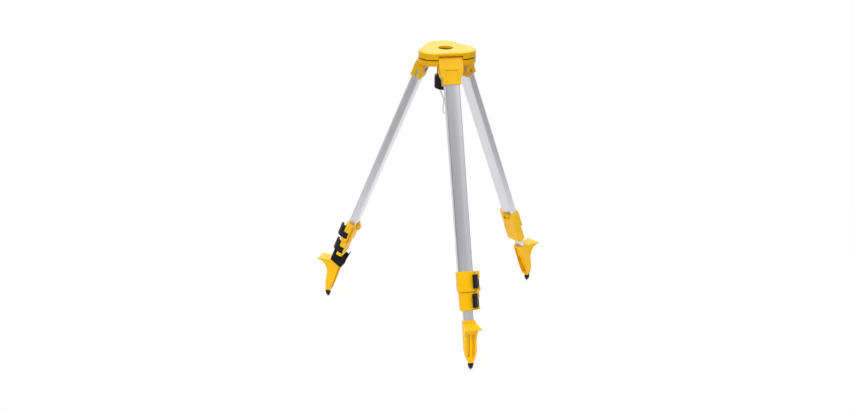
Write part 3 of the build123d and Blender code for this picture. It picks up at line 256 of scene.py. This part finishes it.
def stage_finish(name, clean_glow, see_through):
    """White that glows where it is grey; the floor also lets part of the view through."""
    material, tree, out = finish(name)
    reach = add(tree, "ShaderNodeVectorMath", [(0, own_place(tree))], operation="LENGTH").outputs["Value"]
    grey = remap(tree, reach, (CLEAN_RADIUS, 0), (GREY_RADIUS, 1))
    path = add(tree, "ShaderNodeLightPath").outputs
    seen = calc(tree, "ADD", path["Is Camera Ray"], path["Is Glossy Ray"])
    seen = calc(tree, "ADD", seen, path["Is Transmission Ray"], clamp=True)
    glow = calc(tree, "MULTIPLY", seen, remap(tree, grey, (0, clean_glow), (1, GREY_GLOW)))
    emission = add(tree, "ShaderNodeEmission", [("Color", (1, 1, 1, 1)), ("Strength", glow)])
    matt = add(tree, "ShaderNodeBsdfDiffuse", [("Color", blend(tree, grey, CLEAN_WHITE, FAR_GREY))])
    white = add(tree, "ShaderNodeAddShader", [(0, matt.outputs[0]), (1, emission.outputs[0])])
    if see_through:
        share = calc(tree, "MULTIPLY_ADD", path["Is Camera Ray"], see_through, path["Is Shadow Ray"], clamp=True)
        clear = add(tree, "ShaderNodeBsdfTransparent")
        white = add(tree, "ShaderNodeMixShader", [(0, share), (1, white.outputs[0]), (2, clear.outputs[0])])
    tree.links.new(white.outputs[0], out.inputs["Surface"])
    return material


opal_floor = stage_finish("opal_acrylic", CLEAN_GLOW, SEE_THROUGH)
wall_paint = stage_finish("matt_white_paint", GREY_GLOW, 0)
cove.data.materials.append(opal_floor)
cove.data.materials.append(wall_paint)
for face in cove.data.polygons:
    face.material_index = 0 if abs(face.normal.z) > LEVEL else 1
light_box.data.materials.append(wall_paint)
print("floor of", opal_floor.name, "and wall of", wall_paint.name)

# %% [markdown]
# ## Light
#
# Aluminium and satin plastic show what stands round them, so the light decides how they look. In the photograph
# all that looks up carries a white sheen, the faces that turn to the floor are pale, and those that look sideways
# are darker. So the world is dim, and four large soft lamps stand above, at the left, at the front right and
# behind. A sun lamp with a wide angle acts as a soft box far away and lights the whole floor evenly. Together
# they light the floor a little past white, as on a catalogue page, and leave the upright faces below it.

# %% World and soft boxes
WORLD_LIGHT = 0.22
LAMP_DISTANCE = 3.0
# compass angle and height above the horizon, width of the box, all in degrees, and the share of white it gives
SOFT_BOXES = (
    ("top_box", -90, 75, 80, 0.6),
    ("key_box", -144, 36, 45, 0.42),
    ("front_box", -52, 38, 30, 0.16),
    ("back_box", 76, 29, 46, 0.5),
)

world = bpy.data.worlds.new("studio")
bpy.context.scene.world = world
world.use_nodes = True
background = world.node_tree.nodes["Background"]
background.inputs["Color"].default_value = (1, 1, 1, 1)
background.inputs["Strength"].default_value = WORLD_LIGHT
for name, compass, height, width, share in SOFT_BOXES:
    lamp = bpy.data.lights.new(name, "SUN")
    lamp.angle = radians(width)
    lamp.energy = share * pi
    box = bpy.data.objects.new(name, lamp)
    bpy.context.scene.collection.objects.link(box)
    flat = cos(radians(height))
    towards = Vector((flat * cos(radians(compass)), flat * sin(radians(compass)), sin(radians(height))))
    turned = towards.to_track_quat("Z", "Y").to_matrix().to_4x4()
    box.matrix_world = Matrix.Translation(towards * LAMP_DISTANCE) @ turned
bpy.context.scene.view_settings.view_transform = "Standard"
print(len(SOFT_BOXES), "soft boxes")

# %% [markdown]
# Bare metal is as light or dark as what it mirrors, and an even white studio would leave the tubes flat. So grey
# cards stand just outside the picture, as a photographer sets them, and work only in reflections. The faces of
# the tubes that look left and right show the two pale ones at the sides, and the front tube shows the dark one
# beside the camera.

# %% Grey cards
# compass angle in degrees, distance, height of the middle above the floor, width and height in metres, and grey
CARDS = (
    ("right_card", -15, 0.95, 0.35, 1.1, 0.7, "E8E8E8"),
    ("left_card", -141, 0.95, 0.35, 0.9, 0.7, "E8E8E8"),
    ("camera_card", -111, 1.5, 0.95, 1.0, 1.2, "5C5C5C"),
)
for name, compass, distance, middle, width, height, grey in CARDS:
    bpy.ops.object.select_all(action="DESELECT")
    turn = radians(compass)
    stand = (distance * cos(turn), distance * sin(turn), ground + middle)
    bpy.ops.mesh.primitive_plane_add(size=1, location=stand, rotation=(pi / 2, 0, turn + pi / 2))
    card = bpy.context.object
    card.name = name
    card.scale = (width, height, 1)
    card.visible_camera = card.visible_diffuse = card.visible_shadow = card.visible_transmission = False
    material, tree, out = finish(name)
    matt = add(tree, "ShaderNodeBsdfDiffuse", [("Color", linear(grey))])
    tree.links.new(matt.outputs[0], out.inputs["Surface"])
    card.data.materials.append(material)
    card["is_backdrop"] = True
print(len(CARDS), "grey cards")

# %% [markdown]
# ## The legs' own directions
#
# Extruded tubes carry fine lines along their length. To draw them, a pattern has to know which way each leg
# runs. The legs stand at three compass angles and lean by the same spread, so each one's directions are worked
# out once: across, inwards, and up along the leg.

# %% Leg frames
SPREAD = radians(22.6)
HINGE_RADIUS = 0.043
HINGE_DROP = 0.0145
TUBE_OFFSET = -0.0006  # of the tube's middle outwards from the hinge
LEG_ANGLES = {"front": radians(-90), "right": radians(30), "left": radians(150)}


def leg_matrix(angle):
    """From a leg's own axes, x across, y inwards and z up along it, to the tripod's."""
    away = Vector((cos(angle), sin(angle), 0))
    along = Vector((0, 0, 1)) * cos(SPREAD) - away * sin(SPREAD)
    outwards = away * cos(SPREAD) + Vector((0, 0, 1)) * sin(SPREAD)
    across = Vector((-sin(angle), cos(angle), 0))
    matrix = Matrix((across, along.cross(across), along)).transposed().to_4x4()
    matrix.translation = away * HINGE_RADIUS - Vector((0, 0, HINGE_DROP)) + outwards * TUBE_OFFSET
    return matrix


leg_frames = {side: leg_matrix(angle) for side, angle in LEG_ANGLES.items()}
print({side: [round(c, 3) for c in m.translation] for side, m in leg_frames.items()})

# %% [markdown]
# ## Yellow plastic
#
# Head, hinge blocks, clamps and feet are moulded in yellow ABS. The mould is spark-eroded, which leaves a fine
# even grain with a satin gloss, and the colour clouds slightly where the melt flowed. Noise at three sizes makes
# this: the clouds, a slow change of gloss, and the grain as bump. Handling leaves a few dull rub marks. The
# creases are painted darker orange as painted shade. Most of all, the open joint that runs round the head below
# its plate is painted dark brown as its painted shadow.

# %% Moulded yellow ABS
CLOUD_SIZE = 0.035
GLOSS_SIZE = 0.006
GRAIN_SIZE = 0.0009  # real spark grain is about 0.1 mm; it is drawn coarser, to show at all
RUB_SIZE = 0.018
RUB_SHARE = 0.14
CREASE_SIZE = 0.0025
# the strongest share of the painted crease shade
CREASE_SHADE = 0.6
JOINT_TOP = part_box("head_plate")[0].z
JOINT_HEIGHT = 0.0023
# share of the painted shadow in the head's open joint
JOINT_SHADOW = 0.85


def yellow_abs(name, paint_joint_shadow):
    """The yellow of a piece, with painted crease shade, and with or without the head's joint painted dark as its
    shadow.
    """
    material, tree, out = finish(name)
    place = own_place(tree)
    colour = ramp(tree, noise(tree, place, CLOUD_SIZE, 4), (0.3, "F5B800"), (0.72, "FAC306"))
    rub = noise(tree, place, RUB_SIZE, 8, [("Roughness", 0.7), ("Distortion", 1.5)])
    rubbed = remap(tree, rub, (0.58, 0), (0.72, RUB_SHARE))
    colour = blend(tree, rubbed, colour, "FFD35A")
    # painted shade: creases that ambient occlusion finds closed in turn dark orange
    crease_shade = remap(tree, openness(tree, CREASE_SIZE), (0.3, CREASE_SHADE), (0.95, 0))
    colour = blend(tree, crease_shade, colour, "B06A00")
    # painted shadow: the band of the head's open joint turns dark brown
    if paint_joint_shadow:
        height = add(tree, "ShaderNodeSeparateXYZ", [("Vector", place)]).outputs["Z"]
        inside = calc(tree, "COMPARE", height, JOINT_TOP - JOINT_HEIGHT / 2, JOINT_HEIGHT / 2)
        colour = blend(tree, calc(tree, "MULTIPLY", inside, JOINT_SHADOW), colour, "3C1A00")
    gloss = remap(tree, noise(tree, place, GLOSS_SIZE, 3), (0.25, 0.3), (0.75, 0.42))
    grain = noise(tree, place, GRAIN_SIZE, 2)
    surface(tree, out, colour, calc(tree, "ADD", gloss, rubbed), (grain, 0.16, GRAIN_SIZE / 4),
            [("IOR", 1.54), ("Specular IOR Level", 0.17)])
    return material


moulded_yellow = yellow_abs("moulded_yellow_abs", False)
joint_shadow_yellow = yellow_abs("moulded_yellow_abs_joint_shadow", True)
print("made", moulded_yellow.name, joint_shadow_yellow.name)

# %% [markdown]
# ## Black plastic and rubber
#
# The levers and the handle are black nylon, a little duller than the yellow because glass fibres lie near the
# surface and give it a mottled satin. The foot tips are rubber: matt, and greyed by dust where they stand on
# the ground, so their colour follows the height above the floor.

# %% Glass-filled black nylon
FIBRE_SIZE = 0.0014
SATIN_SIZE = 0.009


def black_nylon():
    """Near black, with fibres as fine bumps."""
    material, tree, out = finish("glass_filled_black_nylon")
    place = own_place(tree)
    satin = noise(tree, place, SATIN_SIZE, 5)
    colour = ramp(tree, satin, (0.35, "0D0D10"), (0.7, "191A1C"))
    rough = remap(tree, satin, (0.3, 0.38), (0.7, 0.54))
    fibre = add(tree, "ShaderNodeTexVoronoi", [("Vector", place), ("Scale", 1 / FIBRE_SIZE)]).outputs["Distance"]
    surface(tree, out, colour, rough, (fibre, 0.18, FIBRE_SIZE / 5), [("IOR", 1.53), ("Specular IOR Level", 0.14)])
    return material


moulded_black = black_nylon()
print("made", moulded_black.name)

# %% Black rubber
DUST_TOP = 0.012
DUST_SHARE = 0.55
CRUMB_SIZE = 0.0016


def black_rubber():
    """Crumbly black that turns dusty towards the ground."""
    material, tree, out = finish("moulded_black_rubber")
    place = own_place(tree)
    height = add(tree, "ShaderNodeSeparateXYZ", [("Vector", place)]).outputs["Z"]
    dusty = remap(tree, height, (ground, DUST_SHARE), (ground + DUST_TOP, 0))
    crumb = noise(tree, place, CRUMB_SIZE, 6)
    colour = blend(tree, calc(tree, "MULTIPLY", dusty, crumb), "1B1B1D", "6D6962")
    rough = remap(tree, crumb, (0, 0.55), (1, 0.85))
    surface(tree, out, colour, rough, (crumb, 0.3, CRUMB_SIZE / 4), [("IOR", 1.52), ("Specular IOR Level", 0.2)])
    return material


tip_rubber = black_rubber()
print("made", tip_rubber.name)

# %% [markdown]
# ## Aluminium tubes
#
# The tubes are extruded aluminium with a thin clear anodised coat. The die leaves faint lines along the whole
# length, and the coat turns the metal's mirror into a soft sheen. A noise stretched a few hundred times along
# the leg draws the lines. Its Mapping node, of the texture kind, first turns the coordinates into the leg's own
# axes and then divides by the scale, so each leg has its own copy of the material. The narrow grooves beside the
# raised panel are painted darker grey, as painted shade.

# %% Anodised extruded aluminium
LINE_WIDTH = 0.0011  # real die lines are finer; drawn this wide, they still show from three metres
BAND_WIDTH = 0.007
BAND_SHARE = 0.35
STRETCH = 400.0
GROOVE_SIZE = 0.004
# the strongest share of the painted groove shade
GROOVE_SHADE = 0.8


def anodised_aluminium(side):
    """Satin metal with die lines that run along one leg."""
    material, tree, out = finish("anodised_aluminium_" + side)
    leg = leg_frames[side]
    along_leg = add(tree, "ShaderNodeMapping",
                    [("Vector", own_place(tree)), ("Location", leg.translation), ("Rotation", leg.to_euler()),
                     ("Scale", (1, 1, STRETCH))], vector_type="TEXTURE").outputs[0]
    lines = noise(tree, along_leg, LINE_WIDTH, 3, [("Roughness", 0.6)])
    bands = noise(tree, along_leg, BAND_WIDTH, 2)
    drawn = average(tree, BAND_SHARE, lines, bands)
    colour = ramp(tree, drawn, (0.3, "BCBCC0"), (0.7, "D0D0D3"))
    # painted shade: grooves that ambient occlusion finds closed in turn dark grey
    crease_shade = remap(tree, openness(tree, GROOVE_SIZE), (0.3, GROOVE_SHADE), (0.9, 0))
    colour = blend(tree, crease_shade, colour, "4C4C50")
    rough = remap(tree, drawn, (0.3, 0.27), (0.7, 0.38))
    surface(tree, out, colour, rough, (lines, 0.12, LINE_WIDTH / 8), [("Metallic", 1.0)])
    return material


tube_metal = {side: anodised_aluminium(side) for side in LEG_ANGLES}
print("made", [m.name for m in tube_metal.values()])

# %% [markdown]
# ## Steel and brass
#
# Screws, pins, chain and hook are zinc-plated steel: a cool grey with soft cloudy spots from the plating bath.
# The bush that guides the centre screw is turned brass, with rings left by the cutting tool. The rings are a
# wave texture round the screw's own axis, which is the tripod's middle.

# %% Zinc-plated steel
SPANGLE_SIZE = 0.0035


def zinc_plated_steel():
    """Cool grey metal, cloudy from the bath."""
    material, tree, out = finish("zinc_plated_steel")
    spangle = noise(tree, own_place(tree), SPANGLE_SIZE, 5)
    colour = ramp(tree, spangle, (0.3, "77787D"), (0.7, "999A9F"))
    rough = remap(tree, spangle, (0, 0.22), (1, 0.48))
    surface(tree, out, colour, rough, (spangle, 0.08, SPANGLE_SIZE / 10), [("Metallic", 1.0)])
    return material


plated_steel = zinc_plated_steel()
print("made", plated_steel.name)

# %% Turned brass
TOOL_FEED = 0.0008  # a real feed is about 0.1 mm a turn; drawn coarser, to show
STAIN_SIZE = 0.009


def turned_brass():
    """Brass with stains and the rings of the cutting tool."""
    material, tree, out = finish("turned_brass")
    place = own_place(tree)
    rings = add(tree, "ShaderNodeTexWave",
                [("Vector", place), ("Scale", wave_scale(TOOL_FEED)), ("Distortion", 0.6), ("Detail Scale", 2)],
                wave_type="RINGS", rings_direction="Z").outputs["Fac"]
    stain = noise(tree, place, STAIN_SIZE, 4)
    colour = blend(tree, stain, "B98A3A", "D3AE5E")
    rough = remap(tree, stain, (0, 0.2), (1, 0.4))
    surface(tree, out, colour, rough, (rings, 0.15, TOOL_FEED / 6), [("Metallic", 1.0)])
    return material


bush_brass = turned_brass()
print("made", bush_brass.name)

# %% [markdown]
# ## Dressing the CAD pieces
#
# Each CAD piece comes with a plain material that is named for its slot in the record. Its mesh is left alone,
# and only the material in the slot is changed. A tube's leg is the first word of its name. Of the yellow
# pieces, the head's frame is the one that holds the joint, and its material paints the joint's shadow.

# %% Assign the finishes
SLOT_FINISH = {
    "yellow_plastic": moulded_yellow,
    "black_plastic": moulded_black,
    "black_rubber": tip_rubber,
    "steel": plated_steel,
    "brass": bush_brass,
}
dressed = {}
for name, piece in nodes.items():
    for holder in piece.material_slots:
        slot = holder.material.name
        if slot == "aluminium":
            holder.material = tube_metal[name.split("_")[0]]
        elif name == "head_frame":
            holder.material = joint_shadow_yellow
        elif slot in SLOT_FINISH:
            holder.material = SLOT_FINISH[slot]
        dressed[slot] = dressed.get(slot, 0) + 1
print("dressed", dressed)

# %% [markdown]
# ## The tie strap
#
# A strap of black webbing hangs round the top of the left foot; for carrying, it ties the three legs together.
# It could be cut from the CAD ring, but a woven band has thin round edges, small ripples and a loose end, so it
# is modelled again. The band starts as a flat square whose corners are bevelled round. Its outline is extruded
# along the leg and bisected by two tilted planes, because the band hangs askew. It is made in the leg's own axes
# and put in its place at the end.

# %% Band of the strap
STRAP_HALF = (0.0165, 0.0160)  # across and inwards, to the middle of the webbing
STRAP_CORNER = 0.006
STRAP_WIDTH = 0.027
STRAP_STATION = 0.5936  # down the leg, to the band's lower edge
STRAP_TILT = radians(14)
UP_THE_STRAP = Vector((0, sin(STRAP_TILT), cos(STRAP_TILT)))
WEBBING = 0.0018
RAW_HEIGHT = 0.05
CORNER_STEPS = 6
SIDE_CUTS = 2

bpy.ops.object.select_all(action="DESELECT")
bpy.ops.mesh.primitive_plane_add(size=2, location=(0, 0, 0))
band = bpy.context.object
band.name = "strap_band"
bpy.ops.object.mode_set(mode="EDIT")
bpy.ops.mesh.select_all(action="SELECT")
bpy.ops.transform.resize(value=(*STRAP_HALF, 1), center_override=(0, 0, 0))
bpy.ops.transform.translate(value=(0, 0, -STRAP_STATION - RAW_HEIGHT / 3))
bpy.ops.mesh.bevel(offset=STRAP_CORNER, segments=CORNER_STEPS, affect="VERTICES")
bpy.ops.mesh.delete(type="ONLY_FACE")
bpy.ops.mesh.select_all(action="SELECT")
bpy.ops.mesh.subdivide(number_cuts=SIDE_CUTS)
bpy.ops.mesh.extrude_region_move(TRANSFORM_OT_translate={"value": (0, 0, RAW_HEIGHT)})
for edge_height, keep_above in ((0, True), (STRAP_WIDTH * cos(STRAP_TILT), False)):
    edge_place = Vector((0, 0, -STRAP_STATION)) + UP_THE_STRAP * edge_height
    bpy.ops.mesh.select_all(action="SELECT")
    bpy.ops.mesh.bisect(plane_co=edge_place, plane_no=UP_THE_STRAP, clear_inner=keep_above,
                        clear_outer=not keep_above)
bpy.ops.mesh.select_all(action="SELECT")
bpy.ops.mesh.normals_make_consistent(inside=False)
bpy.ops.object.mode_set(mode="OBJECT")
print("band", len(band.data.vertices), "points", [round(d, 4) for d in band.dimensions])

# %% [markdown]
# The band now gets rows across its width, so that it can ripple, and a UV map in metres that follows the strap:
# one direction runs round the leg and the other across the width. The weave is drawn on that map, so its threads
# stay with the band wherever it turns. The map starts at one column of points and adds up the steps to the next.

# %% Rows and map of the band
ROWS = 14
LONG_EDGE = 0.8 * STRAP_WIDTH  # an edge that rises more than this runs across the whole width

bpy.ops.object.mode_set(mode="EDIT")
bpy.ops.mesh.select_mode(type="EDGE")
bpy.ops.mesh.select_all(action="DESELECT")
bpy.ops.object.mode_set(mode="OBJECT")
for edge in band.data.edges:
    low, high = (band.data.vertices[i].co for i in edge.vertices)
    edge.select = abs(high.z - low.z) > LONG_EDGE
bpy.ops.object.mode_set(mode="EDIT")
bpy.ops.mesh.subdivide(number_cuts=ROWS)
bpy.ops.object.mode_set(mode="OBJECT")


def column_of(place):
    """The column that a point of the band stands in."""
    return round(place.x, 5), round(place.y, 5)


columns = sorted({column_of(v.co) for v in band.data.vertices}, key=lambda c: atan2(c[1], c[0]))
around = {columns[0]: 0.0}
for last, column in zip(columns, columns[1:]):
    around[column] = around[last] + hypot(column[0] - last[0], column[1] - last[1])
girth = around[columns[-1]] + hypot(columns[0][0] - columns[-1][0], columns[0][1] - columns[-1][1])
weave_map = band.data.uv_layers.new(name="weave")
for face in band.data.polygons:
    places = [band.data.vertices[i].co for i in face.vertices]
    distances = [around[column_of(place)] for place in places]
    for i, place, distance in zip(face.loop_indices, places, distances):
        if max(distances) - distance > girth / 2:
            distance += girth
        weave_map.data[i].uv = (distance, place.dot(UP_THE_STRAP))
print("strap girth", round(girth, 4), "m,", len(band.data.polygons), "faces")

# %% [markdown]
# Displace, Solidify and Bevel give the band ripples, thickness and soft edges. Each modifier is applied as soon as
# it is set, because the next one works on its result.

# %% Ripples and edges of the band
RIPPLE_SIZE = 0.016
RIPPLE_DEPTH = 0.0008
BAND_ROUND = 0.0005
SHARP_ANGLE = radians(50)
SMOOTH_ANGLE = radians(40)


def modify(piece, kind, **settings):
    """Adds a modifier, sets it and applies it."""
    bpy.ops.object.select_all(action="DESELECT")
    piece.select_set(True)
    bpy.context.view_layer.objects.active = piece
    made = piece.modifiers.new(kind, kind)
    for name, value in settings.items():
        setattr(made, name, value)
    bpy.ops.object.modifier_apply(modifier=made.name)


def thicken(strip, edge_round):
    """Gives a strip the thickness of webbing and soft edges."""
    modify(strip, "SOLIDIFY", thickness=WEBBING, offset=0)
    modify(strip, "BEVEL", width=edge_round, segments=2, limit_method="ANGLE", angle_limit=SHARP_ANGLE)
    bpy.ops.object.shade_smooth_by_angle(angle=SMOOTH_ANGLE)


ripple = bpy.data.textures.new("strap_ripple", "CLOUDS")
ripple.noise_scale = RIPPLE_SIZE
modify(band, "DISPLACE", texture=ripple, strength=RIPPLE_DEPTH, mid_level=0.5)
thicken(band, BAND_ROUND)
print("band", len(band.data.polygons), "faces after its modifiers")

# %% [markdown]
# The loose end is a second strip. It is sewn flat on the side of the band that faces the front, runs past the
# band's inner corner and rises to a tip that is cut slantwise, so that the webbing does not fray. A plane is
# subdivided into rows, and each row is narrowed and moved one by one, as one would lay the end of a real strap.

# %% Loose end of the strap
# each row: distance up the leg, and where the strip begins and ends across the leg's depth
TAIL_OUTLINE = (
    (-0.5920, 0.0020, 0.0120), (-0.5800, 0.0020, 0.0192), (-0.5750, 0.0055, 0.0222),
    (-0.5660, 0.0118, 0.0222), (-0.5530, 0.0200, 0.0243), (-0.5402, 0.0237, 0.0265),
)
TAIL_ROWS = 26
TAIL_FREE = -0.578  # above this the strip lifts off the band
TAIL_LIFT = 0.003
TAIL_CURL = 1.5
TAIL_ROUND = 0.0004
TAIL_CLEARANCE = 0.0004
TAIL_FACE = STRAP_HALF[0] + WEBBING + TAIL_CLEARANCE
SAME_ROW = 2e-6
tail_low, tail_high = TAIL_OUTLINE[0][0], TAIL_OUTLINE[-1][0]


def tail_row(height):
    """Where the strip begins and ends at a height, between the two nearest rows of its outline."""
    for (low, low_start, low_end), (high, high_start, high_end) in zip(TAIL_OUTLINE, TAIL_OUTLINE[1:]):
        if height <= high + SAME_ROW:
            share = (height - low) / (high - low)
            return low_start + share * (high_start - low_start), low_end + share * (high_end - low_end)


bpy.ops.object.select_all(action="DESELECT")
bpy.ops.mesh.primitive_plane_add(size=2, location=(0, 0, 0), rotation=(0, pi / 2, 0))
tail = bpy.context.object
tail.name = "strap_loose_end"
bpy.ops.object.transform_apply(location=True, rotation=True, scale=True)
bpy.ops.object.mode_set(mode="EDIT")
bpy.ops.mesh.select_all(action="SELECT")
bpy.ops.transform.resize(value=(1, 0.5, (tail_high - tail_low) / 2), center_override=(0, 0, 0))
bpy.ops.transform.translate(value=(TAIL_FACE, 0, (tail_high + tail_low) / 2))
bpy.ops.mesh.subdivide(number_cuts=TAIL_ROWS)
bpy.ops.mesh.select_mode(type="VERT")
bpy.ops.object.mode_set(mode="OBJECT")
for height in sorted({round(v.co.z, 6) for v in tail.data.vertices}):
    start, end = tail_row(height)
    free = max(0, (height - TAIL_FREE) / (tail_high - TAIL_FREE))
    bpy.ops.object.mode_set(mode="EDIT")
    bpy.ops.mesh.select_all(action="DESELECT")
    bpy.ops.object.mode_set(mode="OBJECT")
    for v in tail.data.vertices:
        v.select = abs(v.co.z - height) < SAME_ROW
    bpy.ops.object.mode_set(mode="EDIT")
    bpy.ops.transform.resize(value=(1, end - start, 1), center_override=(0, 0, 0))
    bpy.ops.transform.translate(value=(TAIL_LIFT * free ** TAIL_CURL, (start + end) / 2, 0))
    bpy.ops.object.mode_set(mode="OBJECT")
tail_map = tail.data.uv_layers.active
tail_map.name = "weave"
for loop, corner in zip(tail.data.loops, tail_map.data):
    place = tail.data.vertices[loop.vertex_index].co
    corner.uv = (place.z, place.y)
thicken(tail, TAIL_ROUND)
print("loose end", len(tail.data.polygons), "faces", [round(d, 4) for d in tail.dimensions])

# %% [markdown]
# The loose end is sewn down with a box and a cross, the usual seam on a load strap. One stitch is a short
# cylinder with rounded ends, laid along the seam; every other one is a copy of it with its own mesh, and all of
# them are joined to one piece.

# %% Seam of the strap
STITCH_LENGTH = 0.0022
STITCH_GAP = 0.0029
STITCH_SIDES = 8
THREAD = 0.0003
THREAD_PROUD = 0.0001
SEAM_START, SEAM_END = 0.0036, 0.0116
SEAM_LOW, SEAM_HIGH = -0.5900, -0.5790
SEAM_FACE = TAIL_FACE + WEBBING / 2 + THREAD_PROUD
BOX_AND_CROSS = ((0, 1), (1, 2), (2, 3), (3, 0), (0, 2), (1, 3))  # pairs of the seam's corners
seam_corners = [Vector((SEAM_FACE, y, z)) for y, z in
                ((SEAM_START, SEAM_LOW), (SEAM_END, SEAM_LOW), (SEAM_END, SEAM_HIGH), (SEAM_START, SEAM_HIGH))]

bpy.ops.object.select_all(action="DESELECT")
bpy.ops.mesh.primitive_cylinder_add(vertices=STITCH_SIDES, radius=THREAD, depth=STITCH_LENGTH, location=(0, 0, 0))
stitch = bpy.context.object
modify(stitch, "BEVEL", width=THREAD * 0.8, segments=2, limit_method="ANGLE", angle_limit=radians(60))
bpy.ops.object.shade_smooth()
stitches = []
for first, second in BOX_AND_CROSS:
    start = seam_corners[first]
    run = seam_corners[second] - start
    along_run = run.to_track_quat("Z", "Y").to_matrix().to_4x4()
    count = max(2, round(run.length / STITCH_GAP))
    for i in range(count):
        copy = stitch.copy()
        copy.data = stitch.data.copy()
        bpy.context.scene.collection.objects.link(copy)
        copy.matrix_world = Matrix.Translation(start + run * (i + 0.5) / count) @ along_run
        stitches.append(copy)
bpy.data.objects.remove(stitch)
bpy.ops.object.select_all(action="DESELECT")
for copy in stitches:
    copy.select_set(True)
bpy.context.view_layer.objects.active = stitches[0]
bpy.ops.object.join()
seam = bpy.context.object
seam.name = "strap_seam"
bpy.ops.object.transform_apply(location=True, rotation=True, scale=True)
print("seam of", len(stitches), "stitches")

# %% [markdown]
# ## Webbing
#
# The strap is woven polypropylene: thick warp threads run along it and thin weft threads cross them, so it shows
# rows of small ribs, with a dull sheen. Two waves on the strap's map, one along and one across, give a height
# that rises where a thread comes to the top. The sewing thread is dark grey polyester with a visible twist.

# %% Woven polypropylene and polyester thread
WARP = 0.0017  # real threads are about 1 mm apart; drawn a little coarser
WEFT = 0.0024
WEAVE_DEPTH = 0.0003
FLUFF_SIZE = 0.004
FLUFF_SHARE = 0.3
TWIST_SIZE = 0.0005
TWIST_DEPTH = 0.0002


def woven_polypropylene():
    """Black ribs on the strap's own map."""
    material, tree, out = finish("woven_polypropylene")
    strap = add(tree, "ShaderNodeUVMap", uv_map="weave").outputs["UV"]
    warp = add(tree, "ShaderNodeTexWave", [("Vector", strap), ("Scale", wave_scale(WARP))], bands_direction="Y")
    weft = add(tree, "ShaderNodeTexWave", [("Vector", strap), ("Scale", wave_scale(WEFT)), ("Distortion", 0.4)],
               bands_direction="X")
    ribs = calc(tree, "MULTIPLY", warp.outputs["Fac"], weft.outputs["Fac"])
    # painted highlight and shade: the colour is lighter on the thread tops and darker between them, mixed with
    # random fluff
    lit = average(tree, FLUFF_SHARE, ribs, noise(tree, strap, FLUFF_SIZE, 4))
    surface(tree, out, blend(tree, lit, "08080A", "1C1C20"), 0.72, (ribs, 0.6, WEAVE_DEPTH),
            [("IOR", 1.49), ("Specular IOR Level", 0.14), ("Sheen Weight", 0.03), ("Sheen Roughness", 0.4)])
    return material


def polyester_thread():
    """Dark grey with a twist."""
    material, tree, out = finish("polyester_thread")
    twist = noise(tree, own_place(tree), TWIST_SIZE, 2)
    surface(tree, out, blend(tree, twist, "1A1A1E", "37373D"), 0.55, (twist, 0.4, TWIST_DEPTH))
    return material


webbing, thread = woven_polypropylene(), polyester_thread()
print("made", webbing.name, thread.name)

# %% Hang the strap on the left leg
for piece, material in ((band, webbing), (tail, webbing), (seam, thread)):
    piece.data.materials.clear()
    piece.data.materials.append(material)
    piece.data.transform(leg_frames["left"])
    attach(piece, "left_lower")
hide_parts("leg_strap")
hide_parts("leg_strap")
strap_low, strap_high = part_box("leg_strap")
print("strap", [round(c, 4) for c in strap_low], "to", [round(c, 4) for c in strap_high])

# %% [markdown]
# ## Sizes and finish
#
# The looks must not change the tripod's size, so the box of the finished one is printed.

# %% Write the sizes and finish
low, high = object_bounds()
print("visual box", [round(c, 4) for c in low], [round(c, 4) for c in high])
